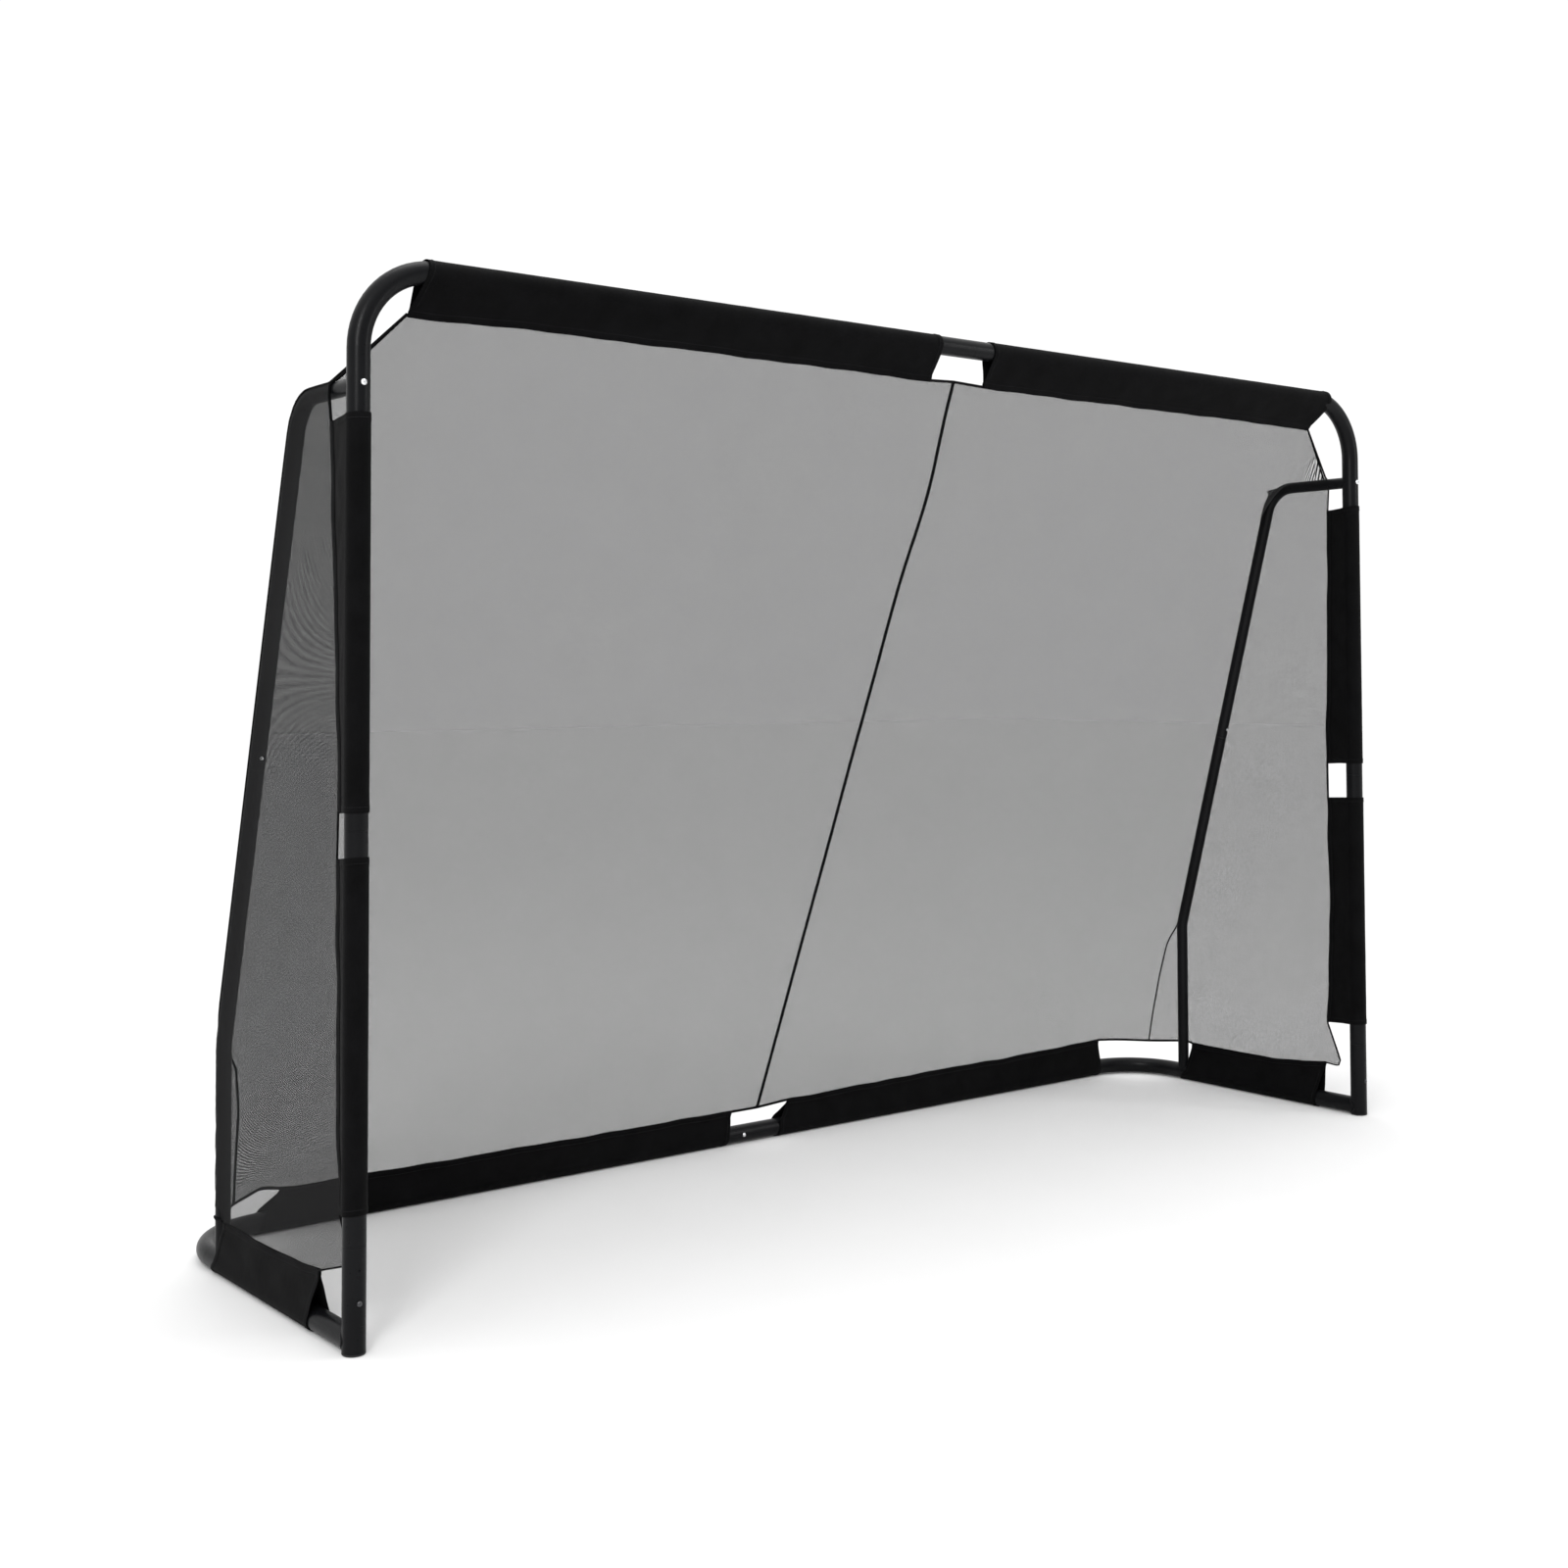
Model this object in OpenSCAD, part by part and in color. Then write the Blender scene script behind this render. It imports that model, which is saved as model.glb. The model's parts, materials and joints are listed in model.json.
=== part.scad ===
// Free-standing goal rebounder: a plug-together steel tube frame with a fine net
// sewn to fabric sleeves that slide over the tubes. X is the width, Y runs from the
// open front to the rear bar, Z is up, and the origin is on the ground below the middle.

/* [Overall size] */
// Width over the outsides of the two posts
goal_w = 2450; // [2200:10:2700]
// Height to the top of the crossbar
goal_h = 1600; // [1550:10:1700]
// Distance from the post axes back to the rear bar axis
axis_depth = 660; // [640:5:720]

/* [Main tubes] */
// Outside diameter of the posts, the crossbar and the ground tubes
tube_d = 35; // [34:0.5:36]
// Wall thickness of the main tubes
tube_wall = 1.2; // [1:0.1:1.4]
// Centre-line radius of the two upper corners
corner_r = 126; // [110:1:135]
// Centre-line radius of the two rear corners on the ground
rear_r = 140; // [130:1:150]
// How far right of the middle the crossbar seam is
bar_seam = 31; // [28:1:34]
// How far right of the middle the rear bar seam is
rear_seam = 16; // [13:1:19]
// Height of the seam in each post
post_seam = 750; // [735:1:760]
// Height of the top of each foot socket
foot_seam = 155; // [150:1:160]

/* [Side braces] */
// Outside diameter of the side braces
brace_d = 25; // [24:0.5:25.5]
// Wall thickness of the side braces
brace_wall = 1.1; // [1:0.1:1.2]
// Height of the horizontal upper end of each brace
brace_z = 1403; // [1390:1:1410]
// Distance behind the post axis where the upper bend's corner would be
brace_reach = 209; // [200:1:220]
// Distance behind the post axis of the brace's vertical lower end
brace_foot = 492; // [485:1:500]
// Angle of the brace's slope away from the vertical, in degrees
brace_tilt = 15.3382; // [14.5:0.0001:16]
// Centre-line radius of both brace bends
brace_r = 70; // [60:1:80]
// How far inside the post axis each brace stands
brace_inset = 4.8; // [3:0.1:4.9]
// Height of the seam in each brace
brace_seam = 827; // [800:1:850]

/* [Snap buttons] */
// Diameter of the buttons in the main tubes
button_d = 8; // [7:0.5:9]
// Diameter of the buttons in the braces
small_button_d = 6; // [5:0.5:6.5]
// How far each button stands out of its tube
button_out = 3.2; // [2.5:0.1:4]

/* [Sleeves and net] */
// Thickness of the sleeve fabric
sleeve_t = 1; // [0.8:0.1:1.2]
// Thickness given to the net panels
net_t = 1.6; // [1.2:0.1:2]
// Radius of the binding that edges the net
binding_r = 2; // [1.6:0.1:2.2]

/* [Hidden] */
$fn = 48;

// Clearances
slip = 0.2;
seam_gap = 0.3;
saddle_gap = 0.15;
sleeve_gap = 0.3;
button_gap = 0.3;

// Main tube radii: outer, inner, then the swaged end that plugs into the next tube
r_out = tube_d / 2;
r_in = r_out - tube_wall;
r_plug = r_in - slip;
r_plug_in = r_plug - tube_wall;
plug_l = 62;
foot_plug_l = 100;
neck_l = 5;

// Brace radii in the same order
b_out = brace_d / 2;
b_in = b_out - brace_wall;
b_plug = b_in - slip;
b_plug_in = b_plug - brace_wall;
b_plug_l = 55;

// Bolt that holds each brace to its post
bolt_r = 2.9;
bolt_head_r = 4.9;
bolt_head_h = 4.4;
bolt_hole_r = 3.2;

// Where the tube axes are
sleeve_r = r_out + sleeve_gap + sleeve_t;
front_reach = r_out + bolt_head_h;
back_reach = sleeve_r;
post_y = -(axis_depth + front_reach + back_reach) / 2 + front_reach;
rear_y = post_y + axis_depth;
post_x = goal_w / 2 - r_out;
bar_z = goal_h - r_out - sleeve_gap - sleeve_t;
rail_z = sleeve_r;
brace_x = post_x - brace_inset;

// Heights and places of the snap buttons
bar_button = bar_seam - 31;
rear_button = rear_seam - 31;
post_button = post_seam + 31;
foot_button = 75;
brace_button_up = 21;
peg_hole_z = 122;
peg_hole_r = 1.6;

// Side brace: two straights joined by two bends, in a plane of constant X
brace_slope = tan(brace_tilt);
tilt = brace_tilt;
upper_turn = 90 - tilt;
upper_tangent = brace_r * tan(upper_turn / 2);
lower_tangent = brace_r * tan(tilt / 2);
kink_z = brace_z - (brace_foot - brace_reach) / brace_slope;
bend_c = [round((post_y + brace_reach - upper_tangent) * 10) / 10, brace_z - brace_r];
low_c = [post_y + brace_foot - brace_r, round((kink_z - lower_tangent) * 10) / 10];
bend_end = bend_c + brace_r * [cos(tilt), sin(tilt)];
low_start = low_c + brace_r * [cos(tilt), sin(tilt)];
upper_slope_l = round((bend_end[1] - brace_seam) / cos(tilt));
seam_yz = bend_end - upper_slope_l * [-sin(tilt), cos(tilt)];
lower_slope_l = round((seam_yz[1] - low_start[1]) / cos(tilt) * 100) / 100;
slope_up = [-sin(tilt), cos(tilt)];
slope_out = [-cos(tilt), -sin(tilt)];

// Sleeve ends along each tube, and how far each sleeve's sewn edge is from its tube's axis
bar_sleeve_end = 1088;
bar_gap = [-45, 88];
bar_flap = 68;
bar_flap_lean = 6;
upper_sleeve = [775, 1352];
lower_sleeve = [196, 705];
post_flap = 68;
post_flap_lean = 7;
rail_sleeve = [116, 476];
rail_flap = 66;
rail_flap_lean = 5;
rear_sleeve_end = 1066;
rear_gap = [-46, 106];
rear_flap = 62;
rear_flap_lean = 15;
edge_gap = 0.6;

// Net: the outer skin of the side panels, and the middle of the back panel
side_x = brace_x + b_out + 1.5;
net_gap = binding_r + edge_gap;
net_top_z = bar_z - (bar_flap + 2 * net_gap) * cos(bar_flap_lean);
net_top_y = post_y + (bar_flap + 2 * net_gap) * sin(bar_flap_lean);
net_low_z = rail_z + (rear_flap + 2 * net_gap) * cos(rear_flap_lean);
net_low_y = rear_y - (rear_flap + 2 * net_gap) * sin(rear_flap_lean);
side_low_z = rail_z + (rail_flap + 2 * net_gap) * cos(rail_flap_lean);
corner_low = [post_x - 52, post_y + 562];
corner_top = [bar_sleeve_end - 2, net_top_y + 14, net_top_z - 4];
skin_r = b_out + 2.4;
tape_half = 5;
lift = 9;

// ---------- helpers ----------

// Centre line of the brace at height z, as [y, z]
function brace_at(z) =
    z >= bend_end[1] ? [bend_c[0] + sqrt(pow(brace_r, 2) - pow(min(z, brace_z) - bend_c[1], 2)), z]
    : z >= low_start[1] ? [post_y + brace_reach + brace_slope * (brace_z - z), z]
    : [post_y + brace_foot, z];

function mix(a, b, t) = a + (b - a) * t;

module rod_x(x0, x1, y, z, r) {
    translate([x0, y, z]) rotate([0, 90, 0]) cylinder(h = x1 - x0, r = r);
}

module rod_y(y0, y1, x, z, r) {
    translate([x, y0, z]) rotate([-90, 0, 0]) cylinder(h = y1 - y0, r = r);
}

module rod_z(z0, z1, x, y, r) {
    translate([x, y, z0]) cylinder(h = z1 - z0, r = r);
}

// A rod between two [y, z] points in the plane x
module rod_yz(x, p, q, r) {
    translate([x, p[0], p[1]])
        rotate([atan2(p[0] - q[0], q[1] - p[1]), 0, 0])
            cylinder(h = norm(q - p), r = r);
}

// A quarter or less of a bent rod, turning in the XZ, YZ or XY plane
module bend_xz(c, bend, r, from, turn) {
    translate(c) rotate([90, 0, 0]) rotate([0, 0, from])
        rotate_extrude(angle = turn) translate([bend, 0]) circle(r = r);
}

module bend_yz(c, bend, r, from, turn) {
    translate(c) rotate([90, 0, 90]) rotate([0, 0, from])
        rotate_extrude(angle = turn) translate([bend, 0]) circle(r = r);
}

module bend_xy(c, bend, r, from, turn) {
    translate(c) rotate([0, 0, from])
        rotate_extrude(angle = turn) translate([bend, 0]) circle(r = r);
}

// A cord through the given points, mitred where it changes direction
function unit(v) = v / norm(v);

function heading(p, i) =
    let (n = len(p) - 1, ahead = p[min(i + 1, n)] - p[min(i, n - 1)], behind = p[max(i, 1)] - p[max(i - 1, 0)])
    unit(unit(ahead) + unit(behind));

module cord(p, r) {
    n = len(p);
    m = 8;
    t = [for (i = [0 : n - 1]) heading(p, i)];
    start = unit(cross(t[0], [0.3, 0.5, 0.81]));
    side = [for (i = 0, u = start; i < n; i = i + 1, u = i < n ? unit(u - (u * t[i]) * t[i]) : u) u];
    points = [for (i = [0 : n - 1]) let (v = cross(t[i], side[i]))
        for (k = [0 : m - 1]) p[i] + r * (cos(k * 360 / m) * side[i] + sin(k * 360 / m) * v)];
    quads = [for (i = [0 : n - 2]) for (k = [0 : m - 1]) let (a = i * m, b = (k + 1) % m)
        [a + k, a + m + k, a + m + b, a + b]];
    caps = [[for (k = [0 : m - 1]) k], [for (k = [m - 1 : -1 : 0]) (n - 1) * m + k]];
    polyhedron(points = points, faces = concat([for (q = quads) each [[q[0], q[1], q[2]], [q[0], q[2], q[3]]]], caps));
}

// A thin closed sheet through rows of points, thickened by the vector d
module sheet(rows, d) {
    n = len(rows);
    m = len(rows[0]);
    points = concat([for (row = rows) for (p = row) p], [for (row = rows) for (p = row) p + d]);
    top = n * m;
    quads = concat(
        [for (i = [0 : n - 2]) for (j = [0 : m - 2]) let (a = top + i * m + j) [a, a + m, a + m + 1, a + 1]],
        [for (i = [0 : n - 2]) for (j = [0 : m - 2]) let (a = i * m + j) [a, a + 1, a + m + 1, a + m]],
        [for (i = [0 : n - 2]) let (a = i * m) [top + a + m, top + a, a, a + m]],
        [for (i = [0 : n - 2]) let (a = i * m + m - 1) [top + a, top + a + m, a + m, a]],
        [for (j = [0 : m - 2]) [top + j, top + j + 1, j + 1, j]],
        [for (j = [0 : m - 2]) let (a = (n - 1) * m + j) [top + a + 1, top + a, a, a + 1]]
    );
    faces = [for (q = quads) each [[q[0], q[1], q[2]], [q[0], q[2], q[3]]]];
    polyhedron(points = points, faces = faces);
}

// Outline of a sleeve round a tube, drawn out to a point that is reach from the tube's axis
module drop(r, reach) {
    first = acos(r / reach);
    n = 30;
    polygon(concat([[reach, 0]], [for (k = [0 : n]) let (a = mix(first, 360 - first, k / n)) r * [cos(a), sin(a)]]));
}

module sleeve_outline(reach) {
    inner = sleeve_r - sleeve_t;
    difference() {
        drop(sleeve_r, reach);
        drop(inner, reach * inner / sleeve_r);
    }
}

// ---------- main tubes ----------

// The right half of the front frame as a solid rod: crossbar half, corner and upper post
module upper_run(r, bar_end, low_z) {
    rod_x(bar_end, post_x - corner_r, post_y, bar_z, r);
    bend_xz([post_x - corner_r, post_y, bar_z - corner_r], corner_r, r, 0, 90);
    rod_z(low_z, bar_z - corner_r, post_x, post_y, r);
}

// The right half of the ground frame as a solid rod: side rail, corner and rear bar half
module ground_run(r, bar_end) {
    rod_y(post_y, rear_y - rear_r, post_x, rail_z, r);
    bend_xy([post_x - rear_r, rear_y - rear_r, rail_z], rear_r, r, 0, 90);
    rod_x(bar_end, post_x - rear_r, rear_y, rail_z, r);
}

module post_holes() {
    hole = button_d / 2 + button_gap;
    rod_y(post_y, post_y + tube_d, post_x, post_button, hole);
    rod_y(post_y - tube_d, post_y + tube_d, post_x, brace_z, bolt_hole_r);
}

module upper_frame_left() {
    color("#26272a") difference() {
        mirror([1, 0, 0]) upper_run(r_out, -bar_seam, post_seam);
        mirror([1, 0, 0]) upper_run(r_in, -bar_seam - 1, post_seam - 1);
        mirror([1, 0, 0]) post_holes();
        rod_y(post_y, post_y + tube_d, bar_button, bar_z, button_d / 2 + button_gap);
    }
}

module upper_frame_right() {
    start = bar_seam + seam_gap;
    color("#26272a") difference() {
        union() {
            upper_run(r_out, start, post_seam);
            rod_x(bar_seam - plug_l, start, post_y, bar_z, r_plug);
        }
        upper_run(r_in, start + neck_l, post_seam - 1);
        rod_x(bar_seam - plug_l - 1, start + neck_l, post_y, bar_z, r_plug_in);
        post_holes();
        rod_y(post_y, post_y + tube_d, bar_button, bar_z, button_d / 2 + button_gap);
    }
}

// A straight tube swaged at both ends, with a button hole in each end
module lower_post() {
    hole = button_d / 2 + button_gap;
    low = foot_seam + seam_gap;
    high = post_seam - seam_gap;
    color("#26272a") difference() {
        union() {
            rod_z(low, high, post_x, post_y, r_out);
            rod_z(foot_seam - foot_plug_l, low, post_x, post_y, r_plug);
            rod_z(high, post_seam + plug_l, post_x, post_y, r_plug);
        }
        rod_z(low + neck_l, high - neck_l, post_x, post_y, r_in);
        rod_z(foot_seam - foot_plug_l - 1, post_seam + plug_l + 1, post_x, post_y, r_plug_in);
        rod_y(post_y, post_y + tube_d, post_x, post_button, hole);
        rod_y(post_y - tube_d, post_y, post_x, foot_button, hole);
    }
}

module foot_socket() {
    color("#26272a") difference() {
        rod_z(3, foot_seam, post_x, post_y, r_out);
        rod_z(2, foot_seam + 1, post_x, post_y, r_in);
        rod_y(post_y - tube_d, post_y, post_x, foot_button, button_d / 2 + button_gap);
        rod_y(post_y - tube_d, post_y, post_x, peg_hole_z, peg_hole_r);
    }
}

// Push-in plastic cap with a shallow rounded rim and a hollow plug
module foot_cap() {
    plug_r = r_in - slip / 2;
    color("#141414") difference() {
        translate([post_x, post_y, 0]) rotate_extrude() {
            square([plug_r, 18]);
            square([r_out - 1.5, 3 - seam_gap]);
            translate([0, 1.2]) square([r_out, 1.5]);
            intersection() {
                translate([r_out - 1.5, 1.5]) circle(r = 1.5);
                square([r_out, 1.5]);
            }
        }
        rod_z(4, 19, post_x, post_y, plug_r - 2);
    }
}

module ground_frame_left() {
    color("#26272a") difference() {
        mirror([1, 0, 0]) ground_run(r_out, -rear_seam);
        mirror([1, 0, 0]) ground_run(r_in, -rear_seam - 1);
        rod_z(-1, tube_d * 2, -post_x, post_y, r_out + saddle_gap);
        rod_y(rear_y - tube_d, rear_y, rear_button, rail_z, button_d / 2 + button_gap);
    }
}

module ground_frame_right() {
    start = rear_seam + seam_gap;
    color("#26272a") difference() {
        union() {
            ground_run(r_out, start);
            rod_x(rear_seam - plug_l, start, rear_y, rail_z, r_plug);
        }
        ground_run(r_in, start + neck_l);
        rod_x(rear_seam - plug_l - 1, start + neck_l, rear_y, rail_z, r_plug_in);
        rod_z(-1, tube_d * 2, post_x, post_y, r_out + saddle_gap);
        rod_y(rear_y - tube_d, rear_y, rear_button, rail_z, button_d / 2 + button_gap);
    }
}

// ---------- side braces ----------

// The upper bend with the horizontal end that meets the post and the start of the slope;
// down is how far the slope goes on below the bend
module upper_brace_run(r, down) {
    translate([brace_x, bend_c[0], bend_c[1]]) rotate([90, 0, 90]) {
        rotate([0, 0, 90]) rotate_extrude(angle = tilt - 90) translate([brace_r, 0]) circle(r = r);
        translate([0, brace_r, 0]) rotate([0, -90, 0]) cylinder(h = bend_c[0] - post_y, r = r);
        rotate([0, 0, tilt]) translate([brace_r, 0, 0]) rotate([90, 0, 0]) cylinder(h = down, r = r);
    }
}

module brace_button_hole() {
    p = seam_yz + brace_button_up * slope_up;
    rod_yz(brace_x, p, p + brace_d * slope_out, small_button_d / 2 + button_gap);
}

module upper_brace() {
    color("#26272a") difference() {
        upper_brace_run(b_out, upper_slope_l);
        upper_brace_run(b_in, upper_slope_l + 1);
        rod_z(brace_z - brace_d, brace_z + brace_d, post_x, post_y, r_out + saddle_gap);
        brace_button_hole();
    }
}

// The lower bend with its vertical foot; below is how far the foot goes on below the bend
module lower_brace_run(r, up, below) {
    low_brace_frame() {
        rotate_extrude(angle = tilt) translate([brace_r, 0]) circle(r = r);
        translate([brace_r, 0, 0]) rotate([90, 0, 0]) cylinder(h = below, r = r);
        slope_rod(0, up, r);
    }
}

module low_brace_frame() {
    translate([brace_x, low_c[0], low_c[1]]) rotate([90, 0, 90]) children();
}

module slope_rod(from, to, r) {
    rotate([0, 0, tilt]) translate([brace_r, 0, 0]) rotate([-90, 0, 0]) translate([0, 0, from])
        cylinder(h = to - from, r = r);
}

module lower_brace() {
    top = lower_slope_l - seam_gap;
    color("#26272a") difference() {
        union() {
            lower_brace_run(b_out, top, low_c[1] - rail_z);
            low_brace_frame() slope_rod(top - 2, lower_slope_l + b_plug_l, b_plug);
        }
        lower_brace_run(b_in, top - neck_l, low_c[1] - rail_z + 1);
        low_brace_frame() slope_rod(top - neck_l - 1, lower_slope_l + b_plug_l + 1, b_plug_in);
        rod_y(post_y + brace_foot - tube_d, post_y + brace_foot + tube_d, post_x, rail_z,
            r_out + saddle_gap);
        brace_button_hole();
    }
}

// Short tube welded to the top of the side rail, over which the brace slides
module brace_spigot() {
    color("#26272a") difference() {
        rod_z(rail_z, rail_z + r_out + 60, brace_x, post_y + brace_foot, b_in - slip);
        rod_z(rail_z - 1, rail_z + r_out + 61, brace_x, post_y + brace_foot, b_in - slip - 1.5);
        rod_y(post_y + brace_foot - tube_d, post_y + brace_foot + tube_d, post_x, rail_z,
            r_out + saddle_gap);
    }
}

// Threaded plug pressed into the brace's upper end, for the bolt
module brace_insert() {
    color("#c9ccd0") difference() {
        rod_y(post_y + r_out + 1.5, post_y + r_out + 20, brace_x, brace_z, b_in - 0.1);
        rod_y(post_y + r_out, post_y + r_out + 21, post_x, brace_z, bolt_r + 0.15);
    }
}

module brace_bolt() {
    dome_r = 5.7;
    color("#d8dadd") translate([post_x, post_y - r_out, brace_z]) rotate([90, 0, 0]) {
        difference() {
            intersection() {
                cylinder(h = bolt_head_h, r = bolt_head_r);
                translate([0, 0, bolt_head_h - dome_r]) sphere(r = dome_r);
            }
            translate([0, 0, bolt_head_h - 2]) cylinder(h = 3, r = 2.2, $fn = 6);
        }
        translate([0, 0, -2 * r_out - 18]) cylinder(h = 2 * r_out + 18, r = bolt_r);
    }
}

// ---------- snap buttons ----------

// A domed button on a flange, pointing along +Z, for a tube whose axis runs along X
module button(r, tube_r, bore_r) {
    flange_r = r + 1.4;
    seat = sqrt(pow(bore_r, 2) - pow(flange_r, 2)) - button_gap;
    tip = tube_r + button_out;
    color("#d8dadd") {
        translate([0, 0, seat - 1.4]) cylinder(h = 1.4, r = flange_r);
        intersection() {
            translate([0, 0, seat]) cylinder(h = tip - seat, r = r);
            translate([0, 0, tip - 1.3 * r]) sphere(r = 1.3 * r);
        }
    }
}

// A bent leaf that pushes the button out, closed end towards +X
module leaf(r, bore_r, length, width) {
    flange_r = r + 1.4;
    high = sqrt(pow(bore_r, 2) - pow(flange_r, 2)) - button_gap - 1.4 - 0.3;
    low = -sqrt(pow(bore_r, 2) - pow(width / 2, 2)) + 0.3;
    t = 0.8;
    color("#b8bbc0") translate([0, width / 2, 0]) rotate([90, 0, 0])
        linear_extrude(height = width)
            polygon([
                [-r - 2, high], [r + 3, high], [length, 1], [length + 1.5, 0],
                [length, -1], [r + 3, low], [-r - 2, low], [-r - 2, low + t],
                [r + 3 - t / 2, low + t], [length - 1, 0], [r + 3 - t / 2, high - t], [-r - 2, high - t]
            ]);
}

// Puts a button or leaf in place: crossbar and posts facing back, under the sleeves;
// rear bar and feet facing forward; braces facing forward across their slope
module at_crossbar() {
    translate([bar_button, post_y, bar_z]) rotate([-90, 0, 0]) children();
}

module at_rear_bar() {
    translate([rear_button, rear_y, rail_z]) rotate([90, 0, 0]) children();
}

module at_post() {
    translate([post_x, post_y, post_button]) rotate([-90, 0, 0]) rotate([0, 0, 90]) children();
}

module at_foot() {
    translate([post_x, post_y, foot_button]) rotate([90, 0, 0]) rotate([0, 0, 90]) children();
}

module at_brace() {
    p = seam_yz + brace_button_up * slope_up;
    translate([brace_x, p[0], p[1]]) rotate([90 + tilt, 0, 0]) rotate([0, 0, -90]) children();
}

module main_button() {
    button(button_d / 2, r_out, r_plug_in);
}

module main_leaf() {
    leaf(button_d / 2, r_plug_in, 46, 10);
}

module small_button() {
    button(small_button_d / 2, b_out, b_plug_in);
}

module small_leaf() {
    leaf(small_button_d / 2, b_plug_in, 34, 7);
}

// ---------- sleeves ----------

module bar_sleeve(x0, x1, y, z, reach, toward) {
    color("#0c0c0d") translate([x0, y, z]) rotate([90, 0, 90])
        linear_extrude(height = x1 - x0) rotate(toward) sleeve_outline(reach);
}

module crossbar_sleeve(x0, x1) {
    bar_sleeve(x0, x1, post_y, bar_z, bar_flap, bar_flap_lean - 90);
}

module rear_bar_sleeve(x0, x1) {
    bar_sleeve(x0, x1, rear_y, rail_z, rear_flap, 90 + rear_flap_lean);
}

module post_sleeve(z0, z1) {
    color("#0c0c0d") translate([post_x, post_y, z0])
        linear_extrude(height = z1 - z0) rotate(90 - post_flap_lean) sleeve_outline(post_flap);
}

module side_rail_sleeve() {
    color("#0c0c0d") translate([post_x, post_y + rail_sleeve[1], rail_z]) rotate([90, 0, 0])
        linear_extrude(height = rail_sleeve[1] - rail_sleeve[0])
            rotate(90 - rail_flap_lean) sleeve_outline(rail_flap);
}

// ---------- net ----------

// The seam between side and back panels at height z: along the brace, then in to the
// rear corner below it and up to the crossbar sleeve above it
function seam_at(z) =
    let (lean = 45, low = brace_at(kink_z), high = brace_at(brace_z))
    z < kink_z
        ? let (t = (z - side_low_z) / (kink_z - side_low_z))
            [mix(corner_low[0], brace_x + skin_r * sin(lean), t), mix(corner_low[1], low[0] + skin_r * cos(lean), t), z]
    : z < bend_end[1] ? [brace_x + skin_r * sin(lean), brace_at(z)[0] + skin_r * cos(lean), z]
    : z <= brace_z + lift
        ? let (a = asin(min(1, (z - bend_c[1]) / (brace_r + skin_r))))
            [brace_x + skin_r * sin(lean), bend_c[0] + (brace_r + skin_r * cos(lean)) * cos(a), z]
    : let (t = (z - brace_z - lift) / (corner_top[2] - brace_z - lift))
        [mix(brace_x + skin_r * sin(lean), corner_top[0], t),
            mix(bend_c[0] + (brace_r + skin_r * cos(lean)) * cos(asin((brace_r + lift) / (brace_r + skin_r))), corner_top[1], t), z];

seam_zs = [side_low_z, 150, 220, 300, kink_z, 480, 600, 720, 827, 940, 1050, 1150, 1250, 1330,
    1365, 1385, 1400, brace_z + lift, 1440, 1475, corner_top[2]];

// Front edge of the side panel at height z
post_net_y = post_y + (post_flap + 2 * net_gap) * cos(post_flap_lean);
function front_y(z) =
    z < 112 ? post_y + mix(104, 56, (z - side_low_z) / (112 - side_low_z))
    : z < lower_sleeve[0] - 6 ? mix(post_y + 56, post_net_y, (z - 112) / (lower_sleeve[0] - 118))
    : z <= upper_sleeve[1] ? post_net_y
    : z <= brace_z + lift ? mix(post_net_y, post_y + 92, (z - upper_sleeve[1]) / (brace_z + lift - upper_sleeve[1]))
    : mix(post_y + 92, corner_top[1] - 2, (z - brace_z - lift) / (corner_top[2] - brace_z - lift));

function side_row(z) =
    let (s = seam_at(z), b = brace_at(min(z, brace_z))[0] + (z < kink_z ? 9 : 3), over = z > brace_z - 10,
        x = over ? s[0] + 4.5 : side_x, y1 = over ? mix(front_y(z), s[1] - 3.5, 0.7) : min(b, s[1] - 6))
    [[x, front_y(z), z], [x, mix(front_y(z), y1, 0.5), z], [x, y1, z],
        [s[0] + (z < kink_z ? 2.5 : 1), s[1] - 3.5, z]];

side_zs = concat([side_low_z, 112, 150, lower_sleeve[0] - 6], [for (z = seam_zs) if (z > 200) z]);

module side_net() {
    color("#303030") sheet([for (z = side_zs) side_row(z)], [net_t * 0.4, net_t * 0.4, 0]);
}

// Depth of the back panel half way between the posts
function middle_y(z) = mix(net_low_y, net_top_y, (z - net_low_z) / (net_top_z - net_low_z));

function back_row(z) =
    let (s = seam_at(z), k = max(0, 1 - (z - side_low_z) / 280), power = 2.5 + 10 * k,
        wide = s[0] - 8, deep = s[1] + (z < brace_z ? 5.5 : 1))
    concat([[s[0] - 2, s[1] + 2.5, z], [wide, deep, z]],
        [for (f = [0.985, 0.95, 0.9, 0.82, 0.7, 0.55, 0.37, 0.19])
            let (x = f * wide) [x, mix(middle_y(z), deep, pow(f, power)), z]],
        [[tape_half + edge_gap, middle_y(z), z]]);

module back_net() {
    zs = [for (z = seam_zs) z == side_low_z ? net_low_z + 4.5 : z];
    color("#303030") sheet([for (z = zs) back_row(z)], [0, net_t, 0]);
}

module middle_seam_tape() {
    low = [net_low_y, net_low_z];
    high = [net_top_y, net_top_z];
    color("#0c0c0d") translate([-tape_half, low[0], low[1]])
        rotate([atan2(low[0] - high[0], high[1] - low[1]), 0, 0])
            cube([2 * tape_half, net_t, norm(high - low)]);
}

module corner_seam() {
    color("#0c0c0d") cord([for (z = seam_zs) seam_at(z) + [0.6, 0.6, z == side_low_z ? 6 : 0]], 1.5);
}

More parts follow.
